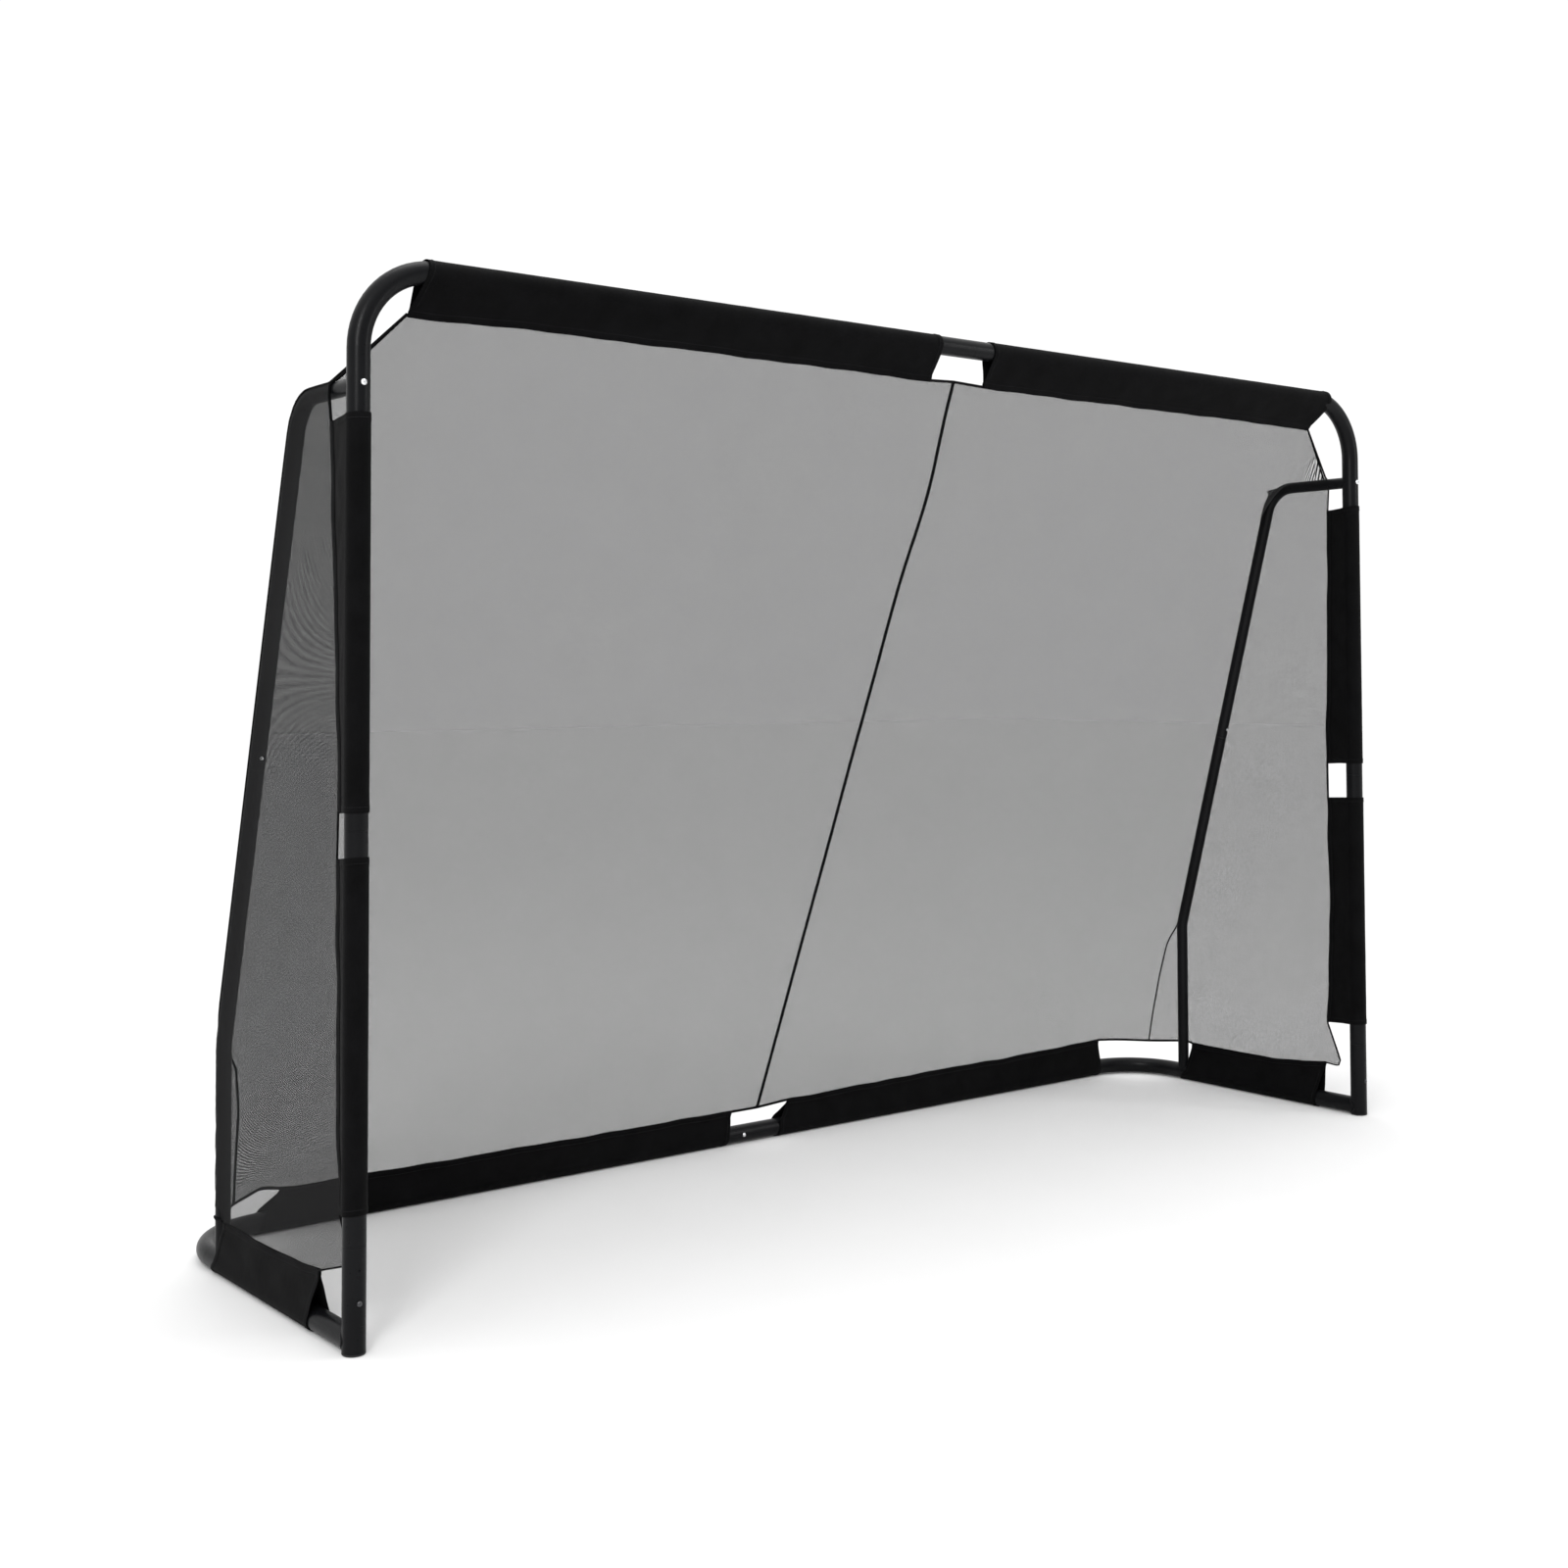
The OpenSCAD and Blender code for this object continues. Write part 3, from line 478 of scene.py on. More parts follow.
class Sleeve:
    """A fabric tube round one straight tube, sewn flat into a flap that holds the net's edge.

    low and high say where its ends are, from the back of the tube (0) to the flap's edge (1). reach and lean
    say how far the flap reaches and how many degrees it leans at each distance along the tube.
    """

    def __init__(self, name, tube, at, along, flap, side, low, high, reach, lean):
        self.name, self.tube = name, tube
        self.at, self.along, self.flap, self.side = (np.array(v, float) for v in (at, along, flap, side))
        self.low, self.high, self.plain_reach, self.plain_lean = map(ramp_of, (low, high, reach, lean))
        self.w_reach = Waves([310, 190, 97])
        self.w_lean = Waves([420, 230, 140])

    def reach(self, t):
        return self.plain_reach(t) + 1.5 * self.w_reach(t)

    def lean(self, t):
        return np.radians(self.plain_lean(t) + 2.2 * self.w_lean(t))

    def edge(self, t, inset):
        """Points inset from the flap's sewn edge at distances t along the tube."""
        t = np.asarray(t, float)
        a = self.lean(t)
        out = self.flap * np.cos(a)[..., None] + self.side * np.sin(a)[..., None]
        return self.at + self.along * t[..., None] + out * (self.reach(t) - inset)[..., None]

    def ring(self, f, creases):
        """The cloth's ring at fraction f of the way from its low end to its high end."""
        at_flap = np.array(self.low(1) + (self.high(1) - self.low(1)) * f)
        length = float(self.reach(at_flap))
        shape, far = sleeve_ring(length)
        across, loose = shape[:, 0], shape[:, 4]
        outward = np.clip((across + SLEEVE_R) / (length + SLEEVE_R), 0, 1)
        low, high = self.low(outward), self.high(outward)
        t = low + (high - low) * f
        wrinkle = np.zeros(len(t))
        for wavelength, skew, phase, size in creases:
            w = np.sin(2 * math.pi * (t / wavelength + skew * across / length) + phase + 1.7 * far)
            wrinkle += size * np.sign(w) * np.abs(w) ** 1.3
        near = (self.high(0) - self.low(0)) * min(f, 1 - f)
        hem = FOLD / (1 + math.exp(min(40.0, (near - HEM + 0.6) * 3)))
        move = shape[:, 5] + hem + loose * (SLACK + WRINKLE * wrinkle / 3)
        move = np.where(loose < 0.2, np.abs(move) + 0.05, move)
        p = shape[:, :2] + shape[:, 2:4] * move[:, None]
        lean = float(self.lean(at_flap))
        c = p[:, 0] * math.cos(lean) - p[:, 1] * math.sin(lean)
        s = p[:, 0] * math.sin(lean) + p[:, 1] * math.cos(lean)
        return self.at + self.along * t[:, None] + self.flap * c[:, None] + self.side * s[:, None]

    def build(self):
        span = abs(self.high(0) - self.low(0))
        marks = np.concatenate([RING_ENDS, np.arange(26, span - 26, 7.5), span - RING_ENDS])
        fractions = np.unique(marks) / span
        creases = [(rng.uniform(35, 150), rng.uniform(-1.3, 1.3), rng.uniform(0, 6.28), rng.uniform(0.5, 1))
                   for _ in range(6)]
        grid = np.array([self.ring(f, creases) for f in fractions])
        rows, cols = grid.shape[:2]
        piece = new_piece(self.name + "_cloth", grid.reshape(-1, 3), grid_faces(rows, cols), SLEEVE,
                          grid_uvs(grid))
        solid = piece.modifiers.new("cloth_thickness", "SOLIDIFY")
        solid.thickness = CLOTH
        solid.offset = 0.0
        mid = cols // 2
        normals = grid_normals(grid)
        centre = self.at + self.along * ((grid - self.at) @ self.along)[..., None]
        outward = np.sign(((grid - centre) * normals).sum(2))[:, mid]
        normals *= 1 if outward.mean() > 0 else -1
        lifted = grid + normals * STITCH_LIFT
        lines = [(slice(None), j) for j in (2, cols - 3)] + [(i, slice(4, cols - 4)) for i in (2, rows - 3)]
        beads = [stitches(lifted[line], normals[line]) for line in lines]
        verts, faces, uvs = join([b for b in beads if b])
        thread = new_piece(self.name + "_stitching", verts, faces, THREAD, uvs=uvs)
        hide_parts(self.name)


sleeves = {}


def add_sleeve(name, *shape):
    sleeves[name] = Sleeve(name, *shape)


BAR = (0, POST_Y, BAR_Z), X, DOWN, Y
BAR_REACH = (-1120, 70), (-900, 64.5), (-300, 65), (-60, 66.5), (80, 67), (300, 67), (900, 66.5), (1120, 71)
BAR_LEAN = (-1120, 20), (-850, 12), (0, 11), (850, 12), (1120, 20)
add_sleeve("crossbar_sleeve_left", "upper_frame_left", *BAR, ((0, -1099), (0.35, -1106), (1, -1116)),
           ((0, -53), (0.4, -53), (1, -58)), BAR_REACH, BAR_LEAN)
add_sleeve("crossbar_sleeve_right", "upper_frame_right", *BAR, ((0, 79), (0.4, 81), (1, 76)),
           ((0, 1116), (0.35, 1118), (1, 1086)), BAR_REACH, BAR_LEAN)
# the upper post sleeve's top and reach, the lower one's top and reach, and the side rail sleeve's front end
BY_SIDE = {
    "left": (1360, ((775, 51), (1060, 63), (1352, 79)), ((0, 712), (1, 705)),
             ((197, 39), (300, 48), (450, 52), (712, 55)), ((0, 124), (0.35, 114), (1, 99))),
    "right": (1350, ((775, 77), (1060, 69), (1352, 66)), ((0, 700), (1, 696)),
              ((192, 86), (440, 71), (699, 76)), ((0, 106), (0.35, 102), (1, 90))),
}
for side, s in SIGN.items():
    top, up_reach, low_top, low_reach, rail_front = BY_SIDE[side]
    out = (s, 0, 0)
    post = (s * POST_X, POST_Y, 0), Z, Y, out
    add_sleeve("upper_post_sleeve_" + side, "upper_frame_" + side, *post, ((0, 776), (0.5, 775), (1, 772)),
               ((0, top), (0.4, top - 4), (1, top - 5)), up_reach, ((775, 4), (1352, 5)))
    add_sleeve("lower_post_sleeve_" + side, "lower_post_" + side, *post, ((0, 200), (0.5, 196), (1, 190)),
               low_top, low_reach, ((190, 5), (712, 4)))
    add_sleeve("side_rail_sleeve_" + side, "ground_frame_" + side, (s * POST_X, POST_Y, RAIL_Z), Y, Z, out,
               rail_front, ((0, 500), (0.28, 476), (1, 470)),
               ((90, 80), (150, 73), (229, 68), (370, 67), (470, 68)), ((90, 5), (470, 2)))
REAR = (0, REAR_Y, RAIL_Z), X, Z, Y
REAR_REACH = ((-1080, 61), (-1000, 57), (-400, 53.5), (-30, 54), (110, 58), (400, 63), (900, 66), (1073, 71))
REAR_LEAN = (-1080, -14), (0, -16), (1080, -14)
add_sleeve("rear_bar_sleeve_left", "ground_frame_left", *REAR, ((0, -1078), (0.45, -1066), (1, -1032)),
           ((0, -57), (1, -45)), REAR_REACH, REAR_LEAN)
add_sleeve("rear_bar_sleeve_right", "ground_frame_right", *REAR, ((0, 77), (0.5, 82), (1, 107)),
           ((0, 1076), (0.5, 1072), (1, 1066)), REAR_REACH, REAR_LEAN)
for sleeve in sleeves.values():
    sleeve.build()

# ---------- the net ----------

# the centres of a brace's two bends, as (y, z)
BEND_AT = (round((BRACE_TOP_Y - BEND_R * math.tan((math.pi / 2 - TILT) / 2)) * 10) / 10, BRACE_Z - BEND_R)
KINK_Z = BRACE_Z - (BRACE_FOOT_Y - BRACE_TOP_Y) / math.tan(TILT)
LOW_AT = (BRACE_FOOT_Y - BEND_R, round((KINK_Z - BEND_R * math.tan(TILT / 2)) * 10) / 10)
SKIN = BRACE_R + 1.1  # how far from a brace's centre line the net lies
UP_SLOPE = 1.09  # the net's length for each unit of height


def bend(centre, start, end, count):
    y, z = centre
    return [(y + BEND_R * math.cos(a), z + BEND_R * math.sin(a)) for a in np.linspace(start, end, count)]


BRACE = np.array([(POST_Y, BRACE_Z), *bend(BEND_AT, math.pi / 2, TILT, 24), *bend(LOW_AT, TILT, 0, 10),
                  (BRACE_FOOT_Y, 36)])
BRACE_DOWN = unit(np.gradient(BRACE, axis=0))
BRACE_ORDER = np.argsort(BRACE[:, 1])


def brace_gap(y, z):
    """Distance in the brace's own plane from each (y, z) to the brace's centre line."""
    q = np.stack([y, z], -1)
    best = np.full(y.shape, 1e9)
    for a, b in zip(BRACE[:-1], BRACE[1:]):
        d = b - a
        f = np.clip(((q - a) @ d) / (d @ d), 0, 1)
        best = np.minimum(best, np.linalg.norm(q - (a + f[..., None] * d), axis=-1))
    return best


def outer_end(name, side, inset):
    """The flap's edge at the outer end of a bar's sleeve."""
    s = sleeves[name + side]
    return s.edge(s.low(1) if side == "left" else s.high(1), inset)


def flap_corner(side):
    return outer_end("crossbar_sleeve_", side, NET_IN)


CORNER_LOW = (1155.8, POST_Y + 559.4, 87.5)
LOOSE_SEAM = [(1173.4, POST_Y + 512.6, 330), (1161.4, POST_Y + 527.9, 250), (1157.8, POST_Y + 549.2, 150),
              CORNER_LOW]


def brace_skin(angle, y=None, z=None):
    """A point on the net side of the brace, angle round it from straight out to straight back."""
    line = BRACE if z is None else BRACE[BRACE[:, 1] > 100]
    tang = unit(np.gradient(line, axis=0))
    normal = np.stack([-tang[:, 1], tang[:, 0]], 1)
    if z is None:
        at = np.array([y, BRACE_Z])
        n = np.array([0.0, 1.0])
    else:
        order = np.argsort(line[:, 1])
        at = np.array([np.interp(z, line[order, 1], line[order, 0]), z])
        n = unit(np.array([np.interp(z, line[order, 1], normal[order, k]) for k in range(2)]))
    q = at + n * SKIN * math.sin(angle)
    return np.array([BRACE_X + SKIN * math.cos(angle), q[0], q[1]])


def seam_path(side):
    """The seam of the back and side nets, from the bar's flap along the brace and down to the rear corner."""
    deg = math.radians
    first = float(sleeves["upper_post_sleeve_" + side].plain_reach(1352)) + 6
    pts = [brace_skin(deg(50), y=POST_Y + y) for y in (first, 104, 124)]
    curve = [brace_skin(deg(48), z=z) for _, z in bend(BEND_AT, 1.5, TILT + 0.05, 12)]
    pts += [p for p in curve if p[1] > pts[-1][1]]
    pts += [brace_skin(deg(45), z=z) for z in np.linspace(1300, 430, 30)]
    pts += [brace_skin(deg(a), z=z) for a, z in ((54, 405), (72, 385), (86, 368))]
    return np.vstack([flap_corner(side), np.vstack([pts, LOOSE_SEAM]) * (SIGN[side], 1, 1)])


def progress(path):
    """How far up each point of a path is, from 0 to 1, mostly by height and a little by length."""
    run = np.concatenate([[0], np.cumsum(np.linalg.norm(np.diff(path, axis=0), axis=1))])
    up = (path[:, 2] - path[-1, 2]) / (path[0, 2] - path[-1, 2])
    return 0.72 * up + 0.28 * (1 - run / run[-1])


def on_path(path, v):
    w = progress(path)[::-1]
    return np.stack([np.interp(v, w, path[::-1, k]) for k in range(3)], -1)


def at_z(path, z):
    order = np.argsort(path[:, 2])
    return np.stack([np.interp(z, path[order, 2], path[order, k]) for k in range(3)], -1)


SEAMS = {side: seam_path(side) for side in SIGN}
STUB = np.concatenate([progress(p)[1:9] for p in SEAMS.values()])
ROWS = np.unique(np.round(np.concatenate([[0, 0.012, 0.03], np.linspace(0.05, 0.9, 64),
                                          np.linspace(STUB.min(), STUB.max(), 12), [0.96, 0.98, 1.0]]), 5))


def settle(height, weights, fixed, floor, rounds=420, over=1.88):
    """Relaxes a height field as a stretched membrane that can't go below floor."""
    wl, wr, wd, wu = weights
    total = wl + wr + wd + wu
    inner = (slice(1, -1), slice(1, -1))
    checks = np.indices(total.shape).sum(0) % 2
    picks = [(checks == k) & ~fixed[inner] for k in (0, 1)]
    height = np.where(fixed, height, np.maximum(height, floor))
    for _ in range(rounds):
        for pick in picks:
            across = wl * height[1:-1, :-2] + wr * height[1:-1, 2:]
            mid = (across + wd * height[:-2, 1:-1] + wu * height[2:, 1:-1]) / total
            new = np.maximum(height[inner] + over * (mid - height[inner]), floor[inner])
            height[inner] = np.where(pick, new, height[inner])
    return height


def mesh_weights(across, up, sideways):
    """Weights from the spacing of the grid in both directions; sideways is the pull across."""
    mid, mid_up = across[1:-1, 1:-1], up[1:-1, 1:-1]
    gaps = (mid - across[1:-1, :-2], across[1:-1, 2:] - mid, mid_up - up[:-2, 1:-1], up[2:, 1:-1] - mid_up)
    dl, dr, dd, du = (np.maximum(np.abs(gap), 0.5) for gap in gaps)
    wide, tall = dl + dr, dd + du
    return sideways / (dl * wide), sideways / (dr * wide), 1 / (dd * tall), 1 / (du * tall)


def middle_at(v):
    """The seam down the middle of the back net: nearly straight, a little steeper below the bar."""
    v = np.asarray(v, float)
    top = sleeves["crossbar_sleeve_left"].edge(-58, NET_IN)
    low = sleeves["rear_bar_sleeve_left"].edge(-46, NET_IN)
    z = low[2] + (top[2] - low[2]) * v
    dip = 11 * np.exp(-((z - 1350) / 130) ** 2) * (1 - v) / 0.11 * np.clip(v * 9, 0, 1)
    return np.stack([22 * (1 - v), low[1] + (top[1] - low[1]) * v - dip, z], -1)


def back_grid():
    half = np.concatenate([[0, 3.5, 7, 10.5, 14, 18, 24, 34, 50], np.linspace(75, 1150, 40)]) / 1150 * 0.5
    cols = np.concatenate([half, (1 - half[:-1])[::-1]])
    mid = len(cols) // 2

    def edge(name, x, corners):
        pts = [corners[0]]
        for side in SIGN:
            sleeve = sleeves[name + side]
            pts.append(sleeve.edge(np.linspace(sleeve.low(1), sleeve.high(1), 60), NET_IN))
        pts = np.vstack([*pts, corners[1]])
        order = np.argsort(pts[:, 0])
        return np.stack([np.interp(x, pts[order, 0], pts[order, k]) for k in range(3)], -1)

    def spread(a, m, b):
        return np.where(cols < 0.5, a + (m - a) * cols * 2, m + (b - m) * (cols - 0.5) * 2)

    left, right = SEAMS["left"], SEAMS["right"]
    top = edge("crossbar_sleeve_", spread(left[0, 0], middle_at(1)[0], right[0, 0]), [left[0], right[0]])
    corner = [np.array([s * 1095, POST_Y + 605, 91]) for s in SIGN.values()]
    low = edge("rear_bar_sleeve_", spread(left[-1, 0], middle_at(0)[0], right[-1, 0]),
               [np.vstack([left[-1], corner[0]]), np.vstack([corner[1], right[-1]])])
    low[0], low[-1], top[0], top[-1] = left[-1], right[-1], left[0], right[0]
    n, m = len(ROWS), len(cols)
    grid = np.zeros((n, m, 3))
    near = np.clip(1 - np.minimum(cols, 1 - cols) / 0.12, 0, 1) ** 2
    for i, v in enumerate(ROWS):
        a, b, c = on_path(left, v), on_path(right, v), middle_at(v)
        z = low[:, 2] + (top[:, 2] - low[:, 2]) * v
        y = low[:, 1] + (top[:, 1] - low[:, 1]) * v
        end = np.where((cols < 0.5)[:, None], a, b)
        y, z = y + near * (end[:, 1] - y), z + near * (end[:, 2] - z)
        grid[i] = np.stack([spread(a[0], c[0], b[0]), y, z], -1)
        grid[i, 0], grid[i, -1], grid[i, mid] = a, b, c
    grid[0], grid[-1] = low, top
    fixed = np.zeros((n, m), bool)
    fixed[[0, -1]] = True
    fixed[:, [0, mid, -1]] = True
    dx = np.abs(grid[..., 0]) - BRACE_X
    heights = BRACE[BRACE_ORDER, 1]
    line = np.interp(grid[..., 2], heights, BRACE[BRACE_ORDER, 0])
    steep = np.maximum(0.25, np.abs(BRACE_DOWN[BRACE_ORDER, 1]))
    bulge = np.sqrt(np.clip(SKIN**2 - dx**2, 0, None)) * np.interp(grid[..., 2], heights, 1 / steep)
    floor = np.where((np.abs(dx) < SKIN) & (grid[..., 2] < BRACE_Z), line + bulge, -1e9)
    weights = mesh_weights(grid[..., 0], grid[..., 2], sideways=0.9)
    grid[..., 1] = settle(grid[..., 1].copy(), weights, fixed, floor)
    return grid, cols


def side_loop(side):
    """The net's edge from the post sleeve, over the brace's stub, to the crossbar sleeve."""
    s = SIGN[side]
    up = sleeves["upper_post_sleeve_" + side]
    end = up.edge(up.high(1), 1.0)
    y = end[1]
    return np.vstack([
        end, (s * (BRACE_X + 14.4), y, 1396), (s * (BRACE_X + 13.4), y, 1408),
        (s * (BRACE_X + 9.0), y - 0.5, 1414.8), (s * (BRACE_X + 1), y - 2, 1419.5), flap_corner(side)])


def foot_corner(side, inset):
    """The net's lower edge from the rail sleeve round the brace to the rear bar sleeve."""
    r = SKIN + 0.3
    pts = [(BRACE_X + 0.98 * r, POST_Y + 489, 88.5), (BRACE_X + 0.86 * r, BRACE_FOOT_Y + 0.5 * r, 89),
           (BRACE_X + 0.3 * r, BRACE_FOOT_Y + 0.97 * r, 89), (1178, POST_Y + 532, 88.5), CORNER_LOW,
           (1118, POST_Y + 588, 89.5), (1085, POST_Y + 612, 90.5)]
    return np.vstack([sleeves["side_rail_sleeve_" + side].edge(469, inset),
                      np.array(pts) * (SIGN[side], 1, 1), outer_end("rear_bar_sleeve_", side, inset)])


# the net's lower front corners, beside the posts
FRONT_CORNER = {"left": np.array((-(POST_X - 8), POST_Y + 30, 119)),
                "right": np.array((POST_X + 4, POST_Y + 50, 101))}


def side_grid(side):
    s = SIGN[side]
    seam = SEAMS[side]
    up = sleeves["upper_post_sleeve_" + side]
    low = sleeves["lower_post_sleeve_" + side]
    rail = sleeves["side_rail_sleeve_" + side]
    corner = FRONT_CORNER[side] + (0, 5, -1)
    front = np.vstack([
        corner, FRONT_CORNER[side] + (0, 0.5, 9),
        low.edge(np.linspace(low.low(1) + 1, low.high(1) - 1, 26), NET_IN),
        up.edge(np.linspace(up.low(1) + 1, up.high(1) - 1, 26), NET_IN), side_loop(side)[1:]])
    bottom = np.vstack([corner, rail.edge(np.linspace(rail.low(1), 468, 40), NET_IN),
                        foot_corner(side, NET_IN)[1:6]])
    cols = np.concatenate([np.linspace(0, 0.86, 15)[:-1], np.linspace(0.86, 0.94, 5)[:-1],
                           np.linspace(0.94, 1, 9)])
    zf = np.interp(ROWS, [0, 1], [front[0][2], front[-1][2]])
    n, m = len(ROWS), len(cols)
    grid = np.zeros((n, m, 3))
    for i, v in enumerate(ROWS):
        b = on_path(seam, v)
        turn = np.clip((v - 0.8) / 0.08, 0, 1) if v < 0.999 else 0  # near the top rows are level
        a = at_z(front, zf[i] + (b[2] - zf[i]) * turn)
        grid[i] = a + (b - a) * cols[:, None]
    run = np.concatenate([[0], np.cumsum(np.linalg.norm(np.diff(bottom, axis=0), axis=1))])
    grid[0] = np.stack([np.interp(cols * run[-1], run, bottom[:, k]) for k in range(3)], -1)
    fixed = np.zeros((n, m), bool)
    fixed[[0, -1]] = True
    fixed[:, [0, -1]] = True
    gap = brace_gap(grid[..., 1], grid[..., 2])
    floor = np.where(gap < SKIN, BRACE_X + np.sqrt(np.clip(SKIN**2 - gap**2, 0, None)), -1e9)
    weights = mesh_weights(grid[..., 1], grid[..., 2], sideways=1.0)
    grid[..., 0] = settle(grid[..., 0] * s, weights, fixed, floor) * s
    return grid


ripple = [Waves([900, 520]), Waves([760, 430])]


def add_ripple(grid, axis, size):
    n, m = grid.shape[:2]
    v = np.sin(np.linspace(0, math.pi, n))[:, None] * np.sin(np.linspace(0, math.pi, m))[None]
    grid[..., axis] += size * v * ripple[0](grid[..., 0] + 0.4 * grid[..., 1]) * ripple[1](grid[..., 2])
    return grid


def net_piece(name, grid, width_axis, flip=False):
    """A panel of net with UVs along width_axis and up the slope; also its flat size and area in metres."""
    n, m = grid.shape[:2]
    faces = grid_faces(n, m)
    if flip:
        faces = [f[::-1] for f in faces]
    uvs = np.stack([grid[..., width_axis], UP_SLOPE * grid[..., 2]], -1).reshape(-1, 2)
    piece = new_piece(name + "_mesh", grid.reshape(-1, 3), faces, NET, uvs)
    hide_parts(name)
    width = float(np.linalg.norm(np.diff(grid[n // 3], axis=0), axis=1).sum())
    length = float(np.linalg.norm(np.diff(grid[:, m // 2], axis=0), axis=1).sum())
    diagonals = grid[1:, :-1] - grid[:-1, :-1], grid[:-1, 1:] - grid[:-1, :-1]
    area = float(np.linalg.norm(np.cross(*diagonals), axis=2).sum())
    flat = (max(width, 1.0) * MM, length * MM)
    return piece, flat, min(area * MM * MM, flat[0] * flat[1])


back, back_cols = back_grid()
back = add_ripple(back, 1, 2.0)
centre = len(back_cols) // 2
side_nets = {side: side_grid(side) for side in SIGN}


def seam_cord(side):
    s = SIGN[side]
    path = side_nets[side][:, -1] + np.array([s * 0.6, 0.8, 0.4])
    verts, faces, uvs = tape_tube(path, wide=4.6, thick=3.4, up=(s, 1, 0))
    return new_piece("corner_seam_cord_" + side, verts, faces, BINDING, uvs=uvs)


cords = {side: seam_cord(side) for side in SIGN}
for side in SIGN:
    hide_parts("corner_seam_" + side)

tape_line = back[:, centre] + np.array([0, 0.2, 0])
tape_verts, tape_faces, tape_uvs = tape_tube(tape_line, wide=8.5, thick=2.2, up=X, sides=12)
tape = new_piece("middle_seam_strip", tape_verts, tape_faces, BINDING, uvs=tape_uvs)
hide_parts("middle_seam_tape")


def binding(side):
    """The tape along the net's outer edge on one side, from the middle round to the middle."""
    bar, rear = sleeves["crossbar_sleeve_" + side], sleeves["rear_bar_sleeve_" + side]
    post, low = sleeves["upper_post_sleeve_" + side], sleeves["lower_post_sleeve_" + side]
    rail = sleeves["side_rail_sleeve_" + side]

    def run(sleeve, count, start=None, end=None):
        """The sleeve's flap edge, from its high end to its low end unless told otherwise."""
        ends = sleeve.high(1) if start is None else start, sleeve.low(1) if end is None else end
        return sleeve.edge(np.linspace(*ends, count), TAPE_IN)

    if side == "left":
        top, bottom = run(bar, 60), run(rear, 60, rear.low(1), rear.high(1))
    else:
        top, bottom = run(bar, 60, bar.low(1), bar.high(1)), run(rear, 60)
    corner = FRONT_CORNER[side]
    parts = [
        (np.vstack([back[-1, centre], top]), Z),
        (side_loop(side)[::-1], (1, 0.2, 0.2)),
        (np.vstack([run(post, 40), run(low, 36)]), Y),
        ([low.edge(low.low(1), TAPE_IN), corner + (0, 0.5, 9), corner + (0, 5, -2.5),
          rail.edge(rail.low(1), TAPE_IN)], X),
        (run(rail, 30, rail.low(1), 470), Z),
        (foot_corner(side, TAPE_IN), Z),
        (np.vstack([bottom, back[0, centre]]), Z),
    ]
    verts, faces, uvs = join([tape_tube(smooth_path(pts), wide=5.4, thick=3.0, up=up) for pts, up in parts])
    piece = new_piece("edge_tape_" + side, verts, faces, BINDING, uvs=uvs)
    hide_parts("edge_binding_" + side)
    return piece


tapes = {side: binding(side) for side in SIGN}

for side in SIGN:
    half = back[:, :centre + 1] if side == "left" else back[:, centre:]
    net, flat, area = net_piece("back_net_" + side, half, 0)
    grid = add_ripple(side_nets[side], 0, 0.8)
    net, flat, area = net_piece("side_net_" + side, grid, 1, flip=side == "left")

# ---------- welds ----------

POST_R, RAIL_R = 17.6, 17.3  # of the tubes' outsides, where the bead's middle lies


def foot_weld(side, width=4.2, ripples=46, count=180, sides=8):
    """The bead where a side rail meets its post: a rippled ring along the line where the tubes cross."""
    a = np.arange(count) * 2 * math.pi / count
    u, v = RAIL_R * np.cos(a), RAIL_R * np.sin(a)
    w = np.sqrt(POST_R**2 - (0.995 * u)**2)
    pts = np.stack([SIGN[side] * POST_X + u, POST_Y + w, RAIL_Z + v], 1)
    t = unit(np.roll(pts, -1, 0) - np.roll(pts, 1, 0))
    out = unit(pts - pts.mean(0))
    wide = unit(out - (out * t).sum(1, keepdims=True) * t)
    high = np.cross(t, wide)
    radius = width / 2 * (1 + 0.13 * np.sin(a * ripples))
    b = np.arange(sides)[:, None] * 2 * math.pi / sides
    ring = pts[:, None] + (wide[:, None] * np.cos(b) + high[:, None] * np.sin(b)) * radius[:, None, None]
    faces = [tuple(i % (count * sides) for i in face) for face in grid_faces(count + 1, sides, wrap=True)]
    new_piece("foot_weld_" + side, ring.reshape(-1, 3), faces, COAT)


for side in SIGN:
    foot_weld(side)

# ---------- leaf springs ----------
# on the real goal each flattens towards its fixed leg as its button is pressed; here each is only copied as a
# piece of its own and its CAD node hidden

for row in frame["joints"]:
    for spring in row["deforming_nodes"]:
        source = bpy.data.objects[spring["node"]].data
        verts = np.array([v.co for v in source.vertices]) / MM
        faces = [tuple(f.vertices) for f in source.polygons]
        leaf = new_piece(spring["node"] + "_leaf", verts, faces, SPRING, smooth=False)
        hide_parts(spring["node"])
        depth = verts @ np.array(row["axis"], float) * MM
        tuple(verts[depth.argmax()] * MM)
        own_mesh(leaf)

# ---------- floor and light ----------

FLOOR_HALF, FLOOR_Z = 30000, -0.4
corners = [(x * FLOOR_HALF, y * FLOOR_HALF, FLOOR_Z) for x, y in ((-1, -1), (1, -1), (1, 1), (-1, 1))]
floor = new_piece("floor", corners, [(0, 1, 2, 3)], pale_floor(), rides=False, smooth=False)


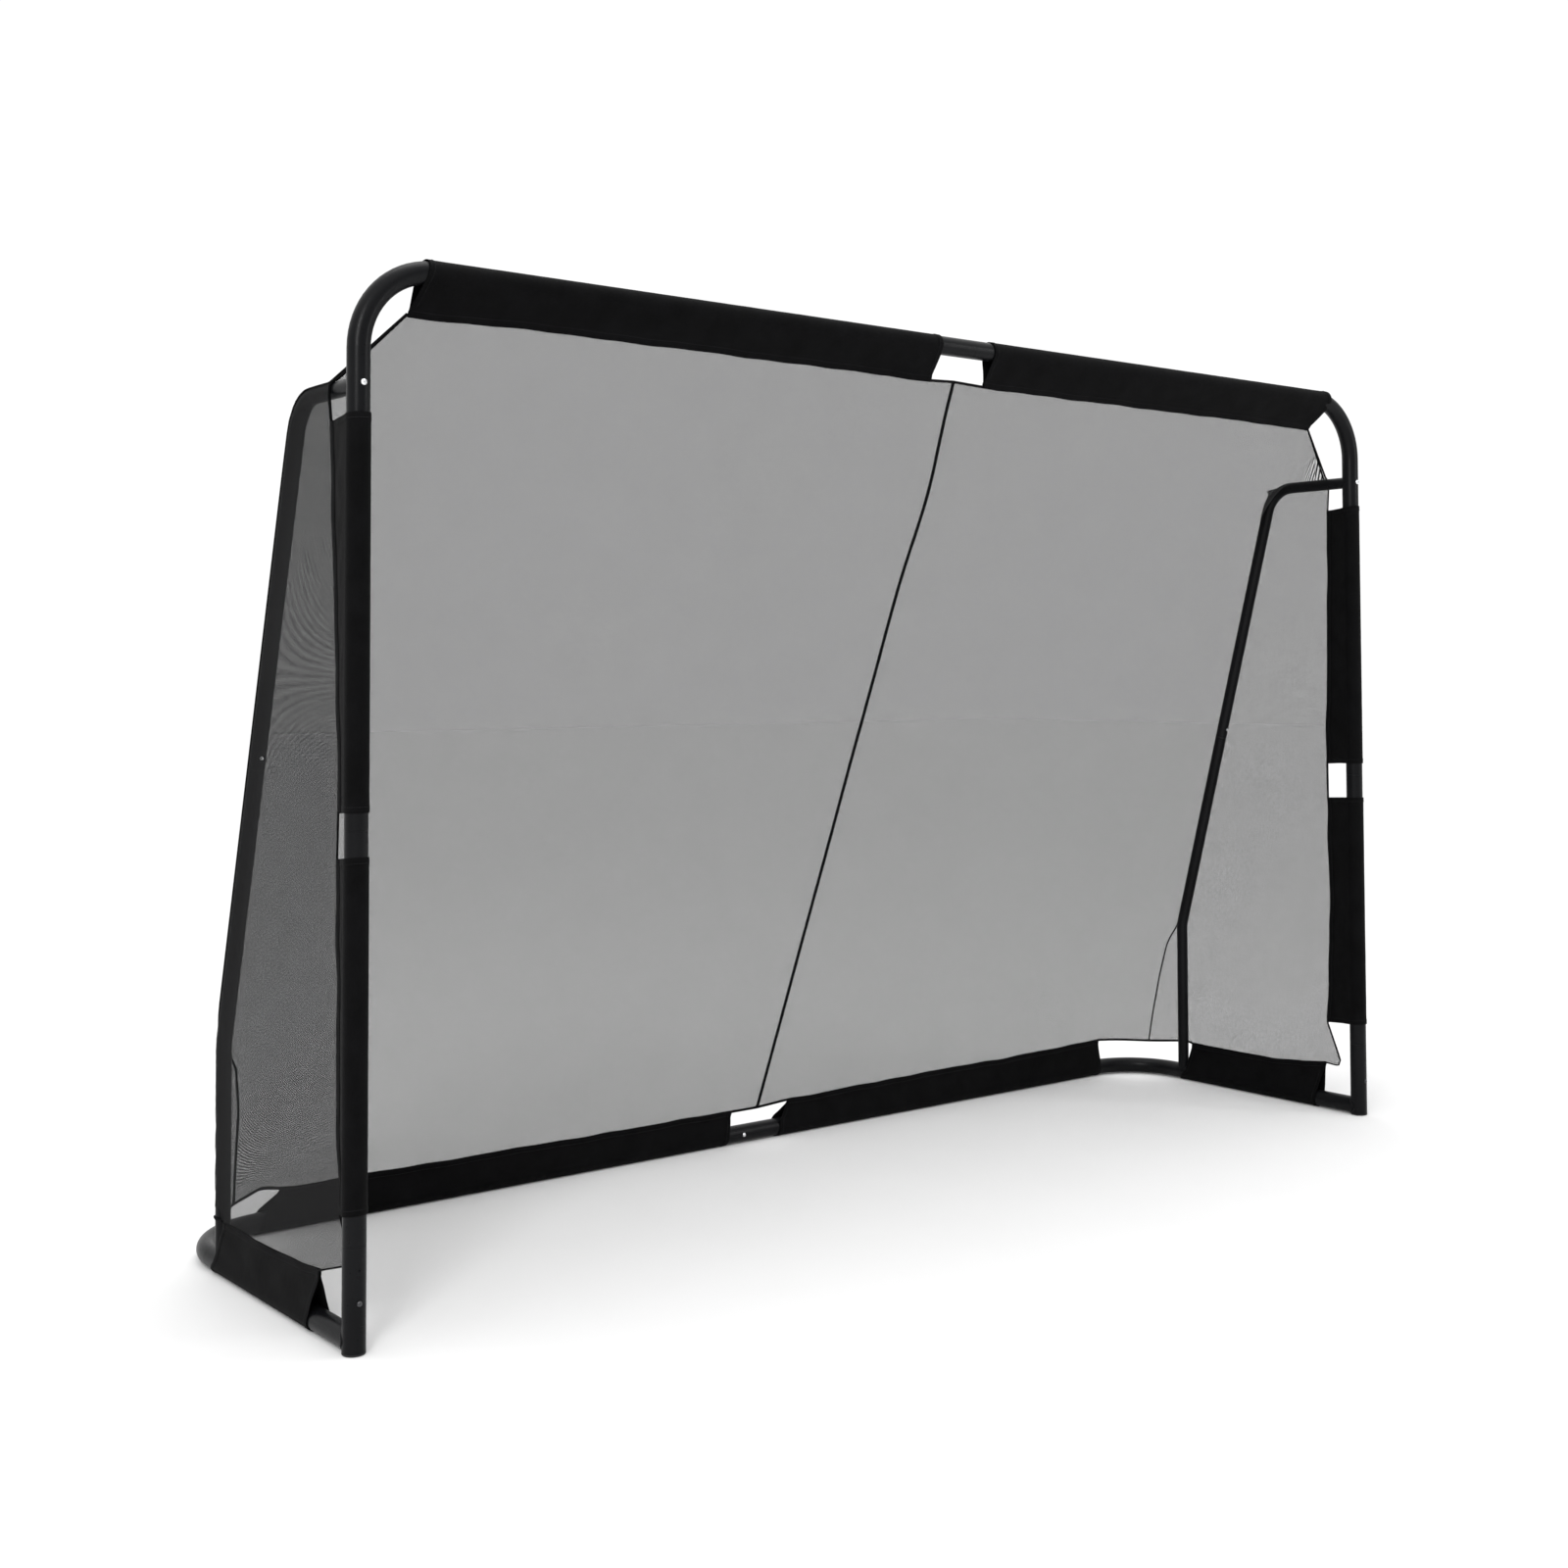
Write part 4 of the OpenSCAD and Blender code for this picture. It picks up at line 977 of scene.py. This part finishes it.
def softbox(name, at, aim, wide, tall, radiance):
    data = bpy.data.lights.new(name, "AREA")
    data.shape = "RECTANGLE"
    data.size, data.size_y = wide, tall
    data.energy = radiance * math.pi * wide * tall
    lamp = bpy.data.objects.new(name, data)
    lamp.location = at
    lamp.rotation_euler = (Vector(at) - Vector(aim)).to_track_quat("Z", "Y").to_euler()
    bpy.context.scene.collection.objects.link(lamp)


softbox("key", at=(-4.2, -3.4, 3.2), aim=(-0.2, -0.2, 0.8), wide=1.3, tall=2.2, radiance=13)
softbox("rim", at=(3.4, -3.6, 2.2), aim=(0.6, 0, 0.9), wide=0.4, tall=2.4, radiance=10)
softbox("top", at=(-0.3, -0.2, 4.6), aim=(0, 0, 0), wide=2.6, tall=1.8, radiance=2.6)
FRONT_SKY, BACK_SKY, TOP_SKY = 0.6, 1.035, 1.5


def studio_world():
    """A white backdrop that gets a little darker towards the front."""
    world = bpy.data.worlds.new("studio")
    world.use_nodes = True
    tree = world.node_tree
    back_node = tree.nodes["Background"]
    coord = tree.nodes.new("ShaderNodeTexCoord")
    split = tree.nodes.new("ShaderNodeSeparateXYZ")
    tree.links.new(coord.outputs["Generated"], split.inputs[0])

    def fit(source, low, high, a, b):
        m = tree.nodes.new("ShaderNodeMapRange")
        for key, v in (("From Min", low), ("From Max", high), ("To Min", a), ("To Max", b)):
            m.inputs[key].default_value = v
        tree.links.new(source, m.inputs["Value"])
        return m.outputs["Result"]

    front = fit(split.outputs["Y"], -0.7, 0.2, FRONT_SKY, BACK_SKY)
    overhead = fit(split.outputs["Z"], 0.3, 0.75, 0.0, 1.0)
    mix = tree.nodes.new("ShaderNodeMix")
    tree.links.new(overhead, mix.inputs["Factor"])
    tree.links.new(front, mix.inputs["A"])
    mix.inputs["B"].default_value = TOP_SKY
    tree.links.new(mix.outputs["Result"], back_node.inputs["Strength"])
    back_node.inputs["Color"].default_value = (1, 1, 1, 1)
    bpy.context.scene.world = world


studio_world()
bpy.context.scene.view_settings.view_transform = "Standard"
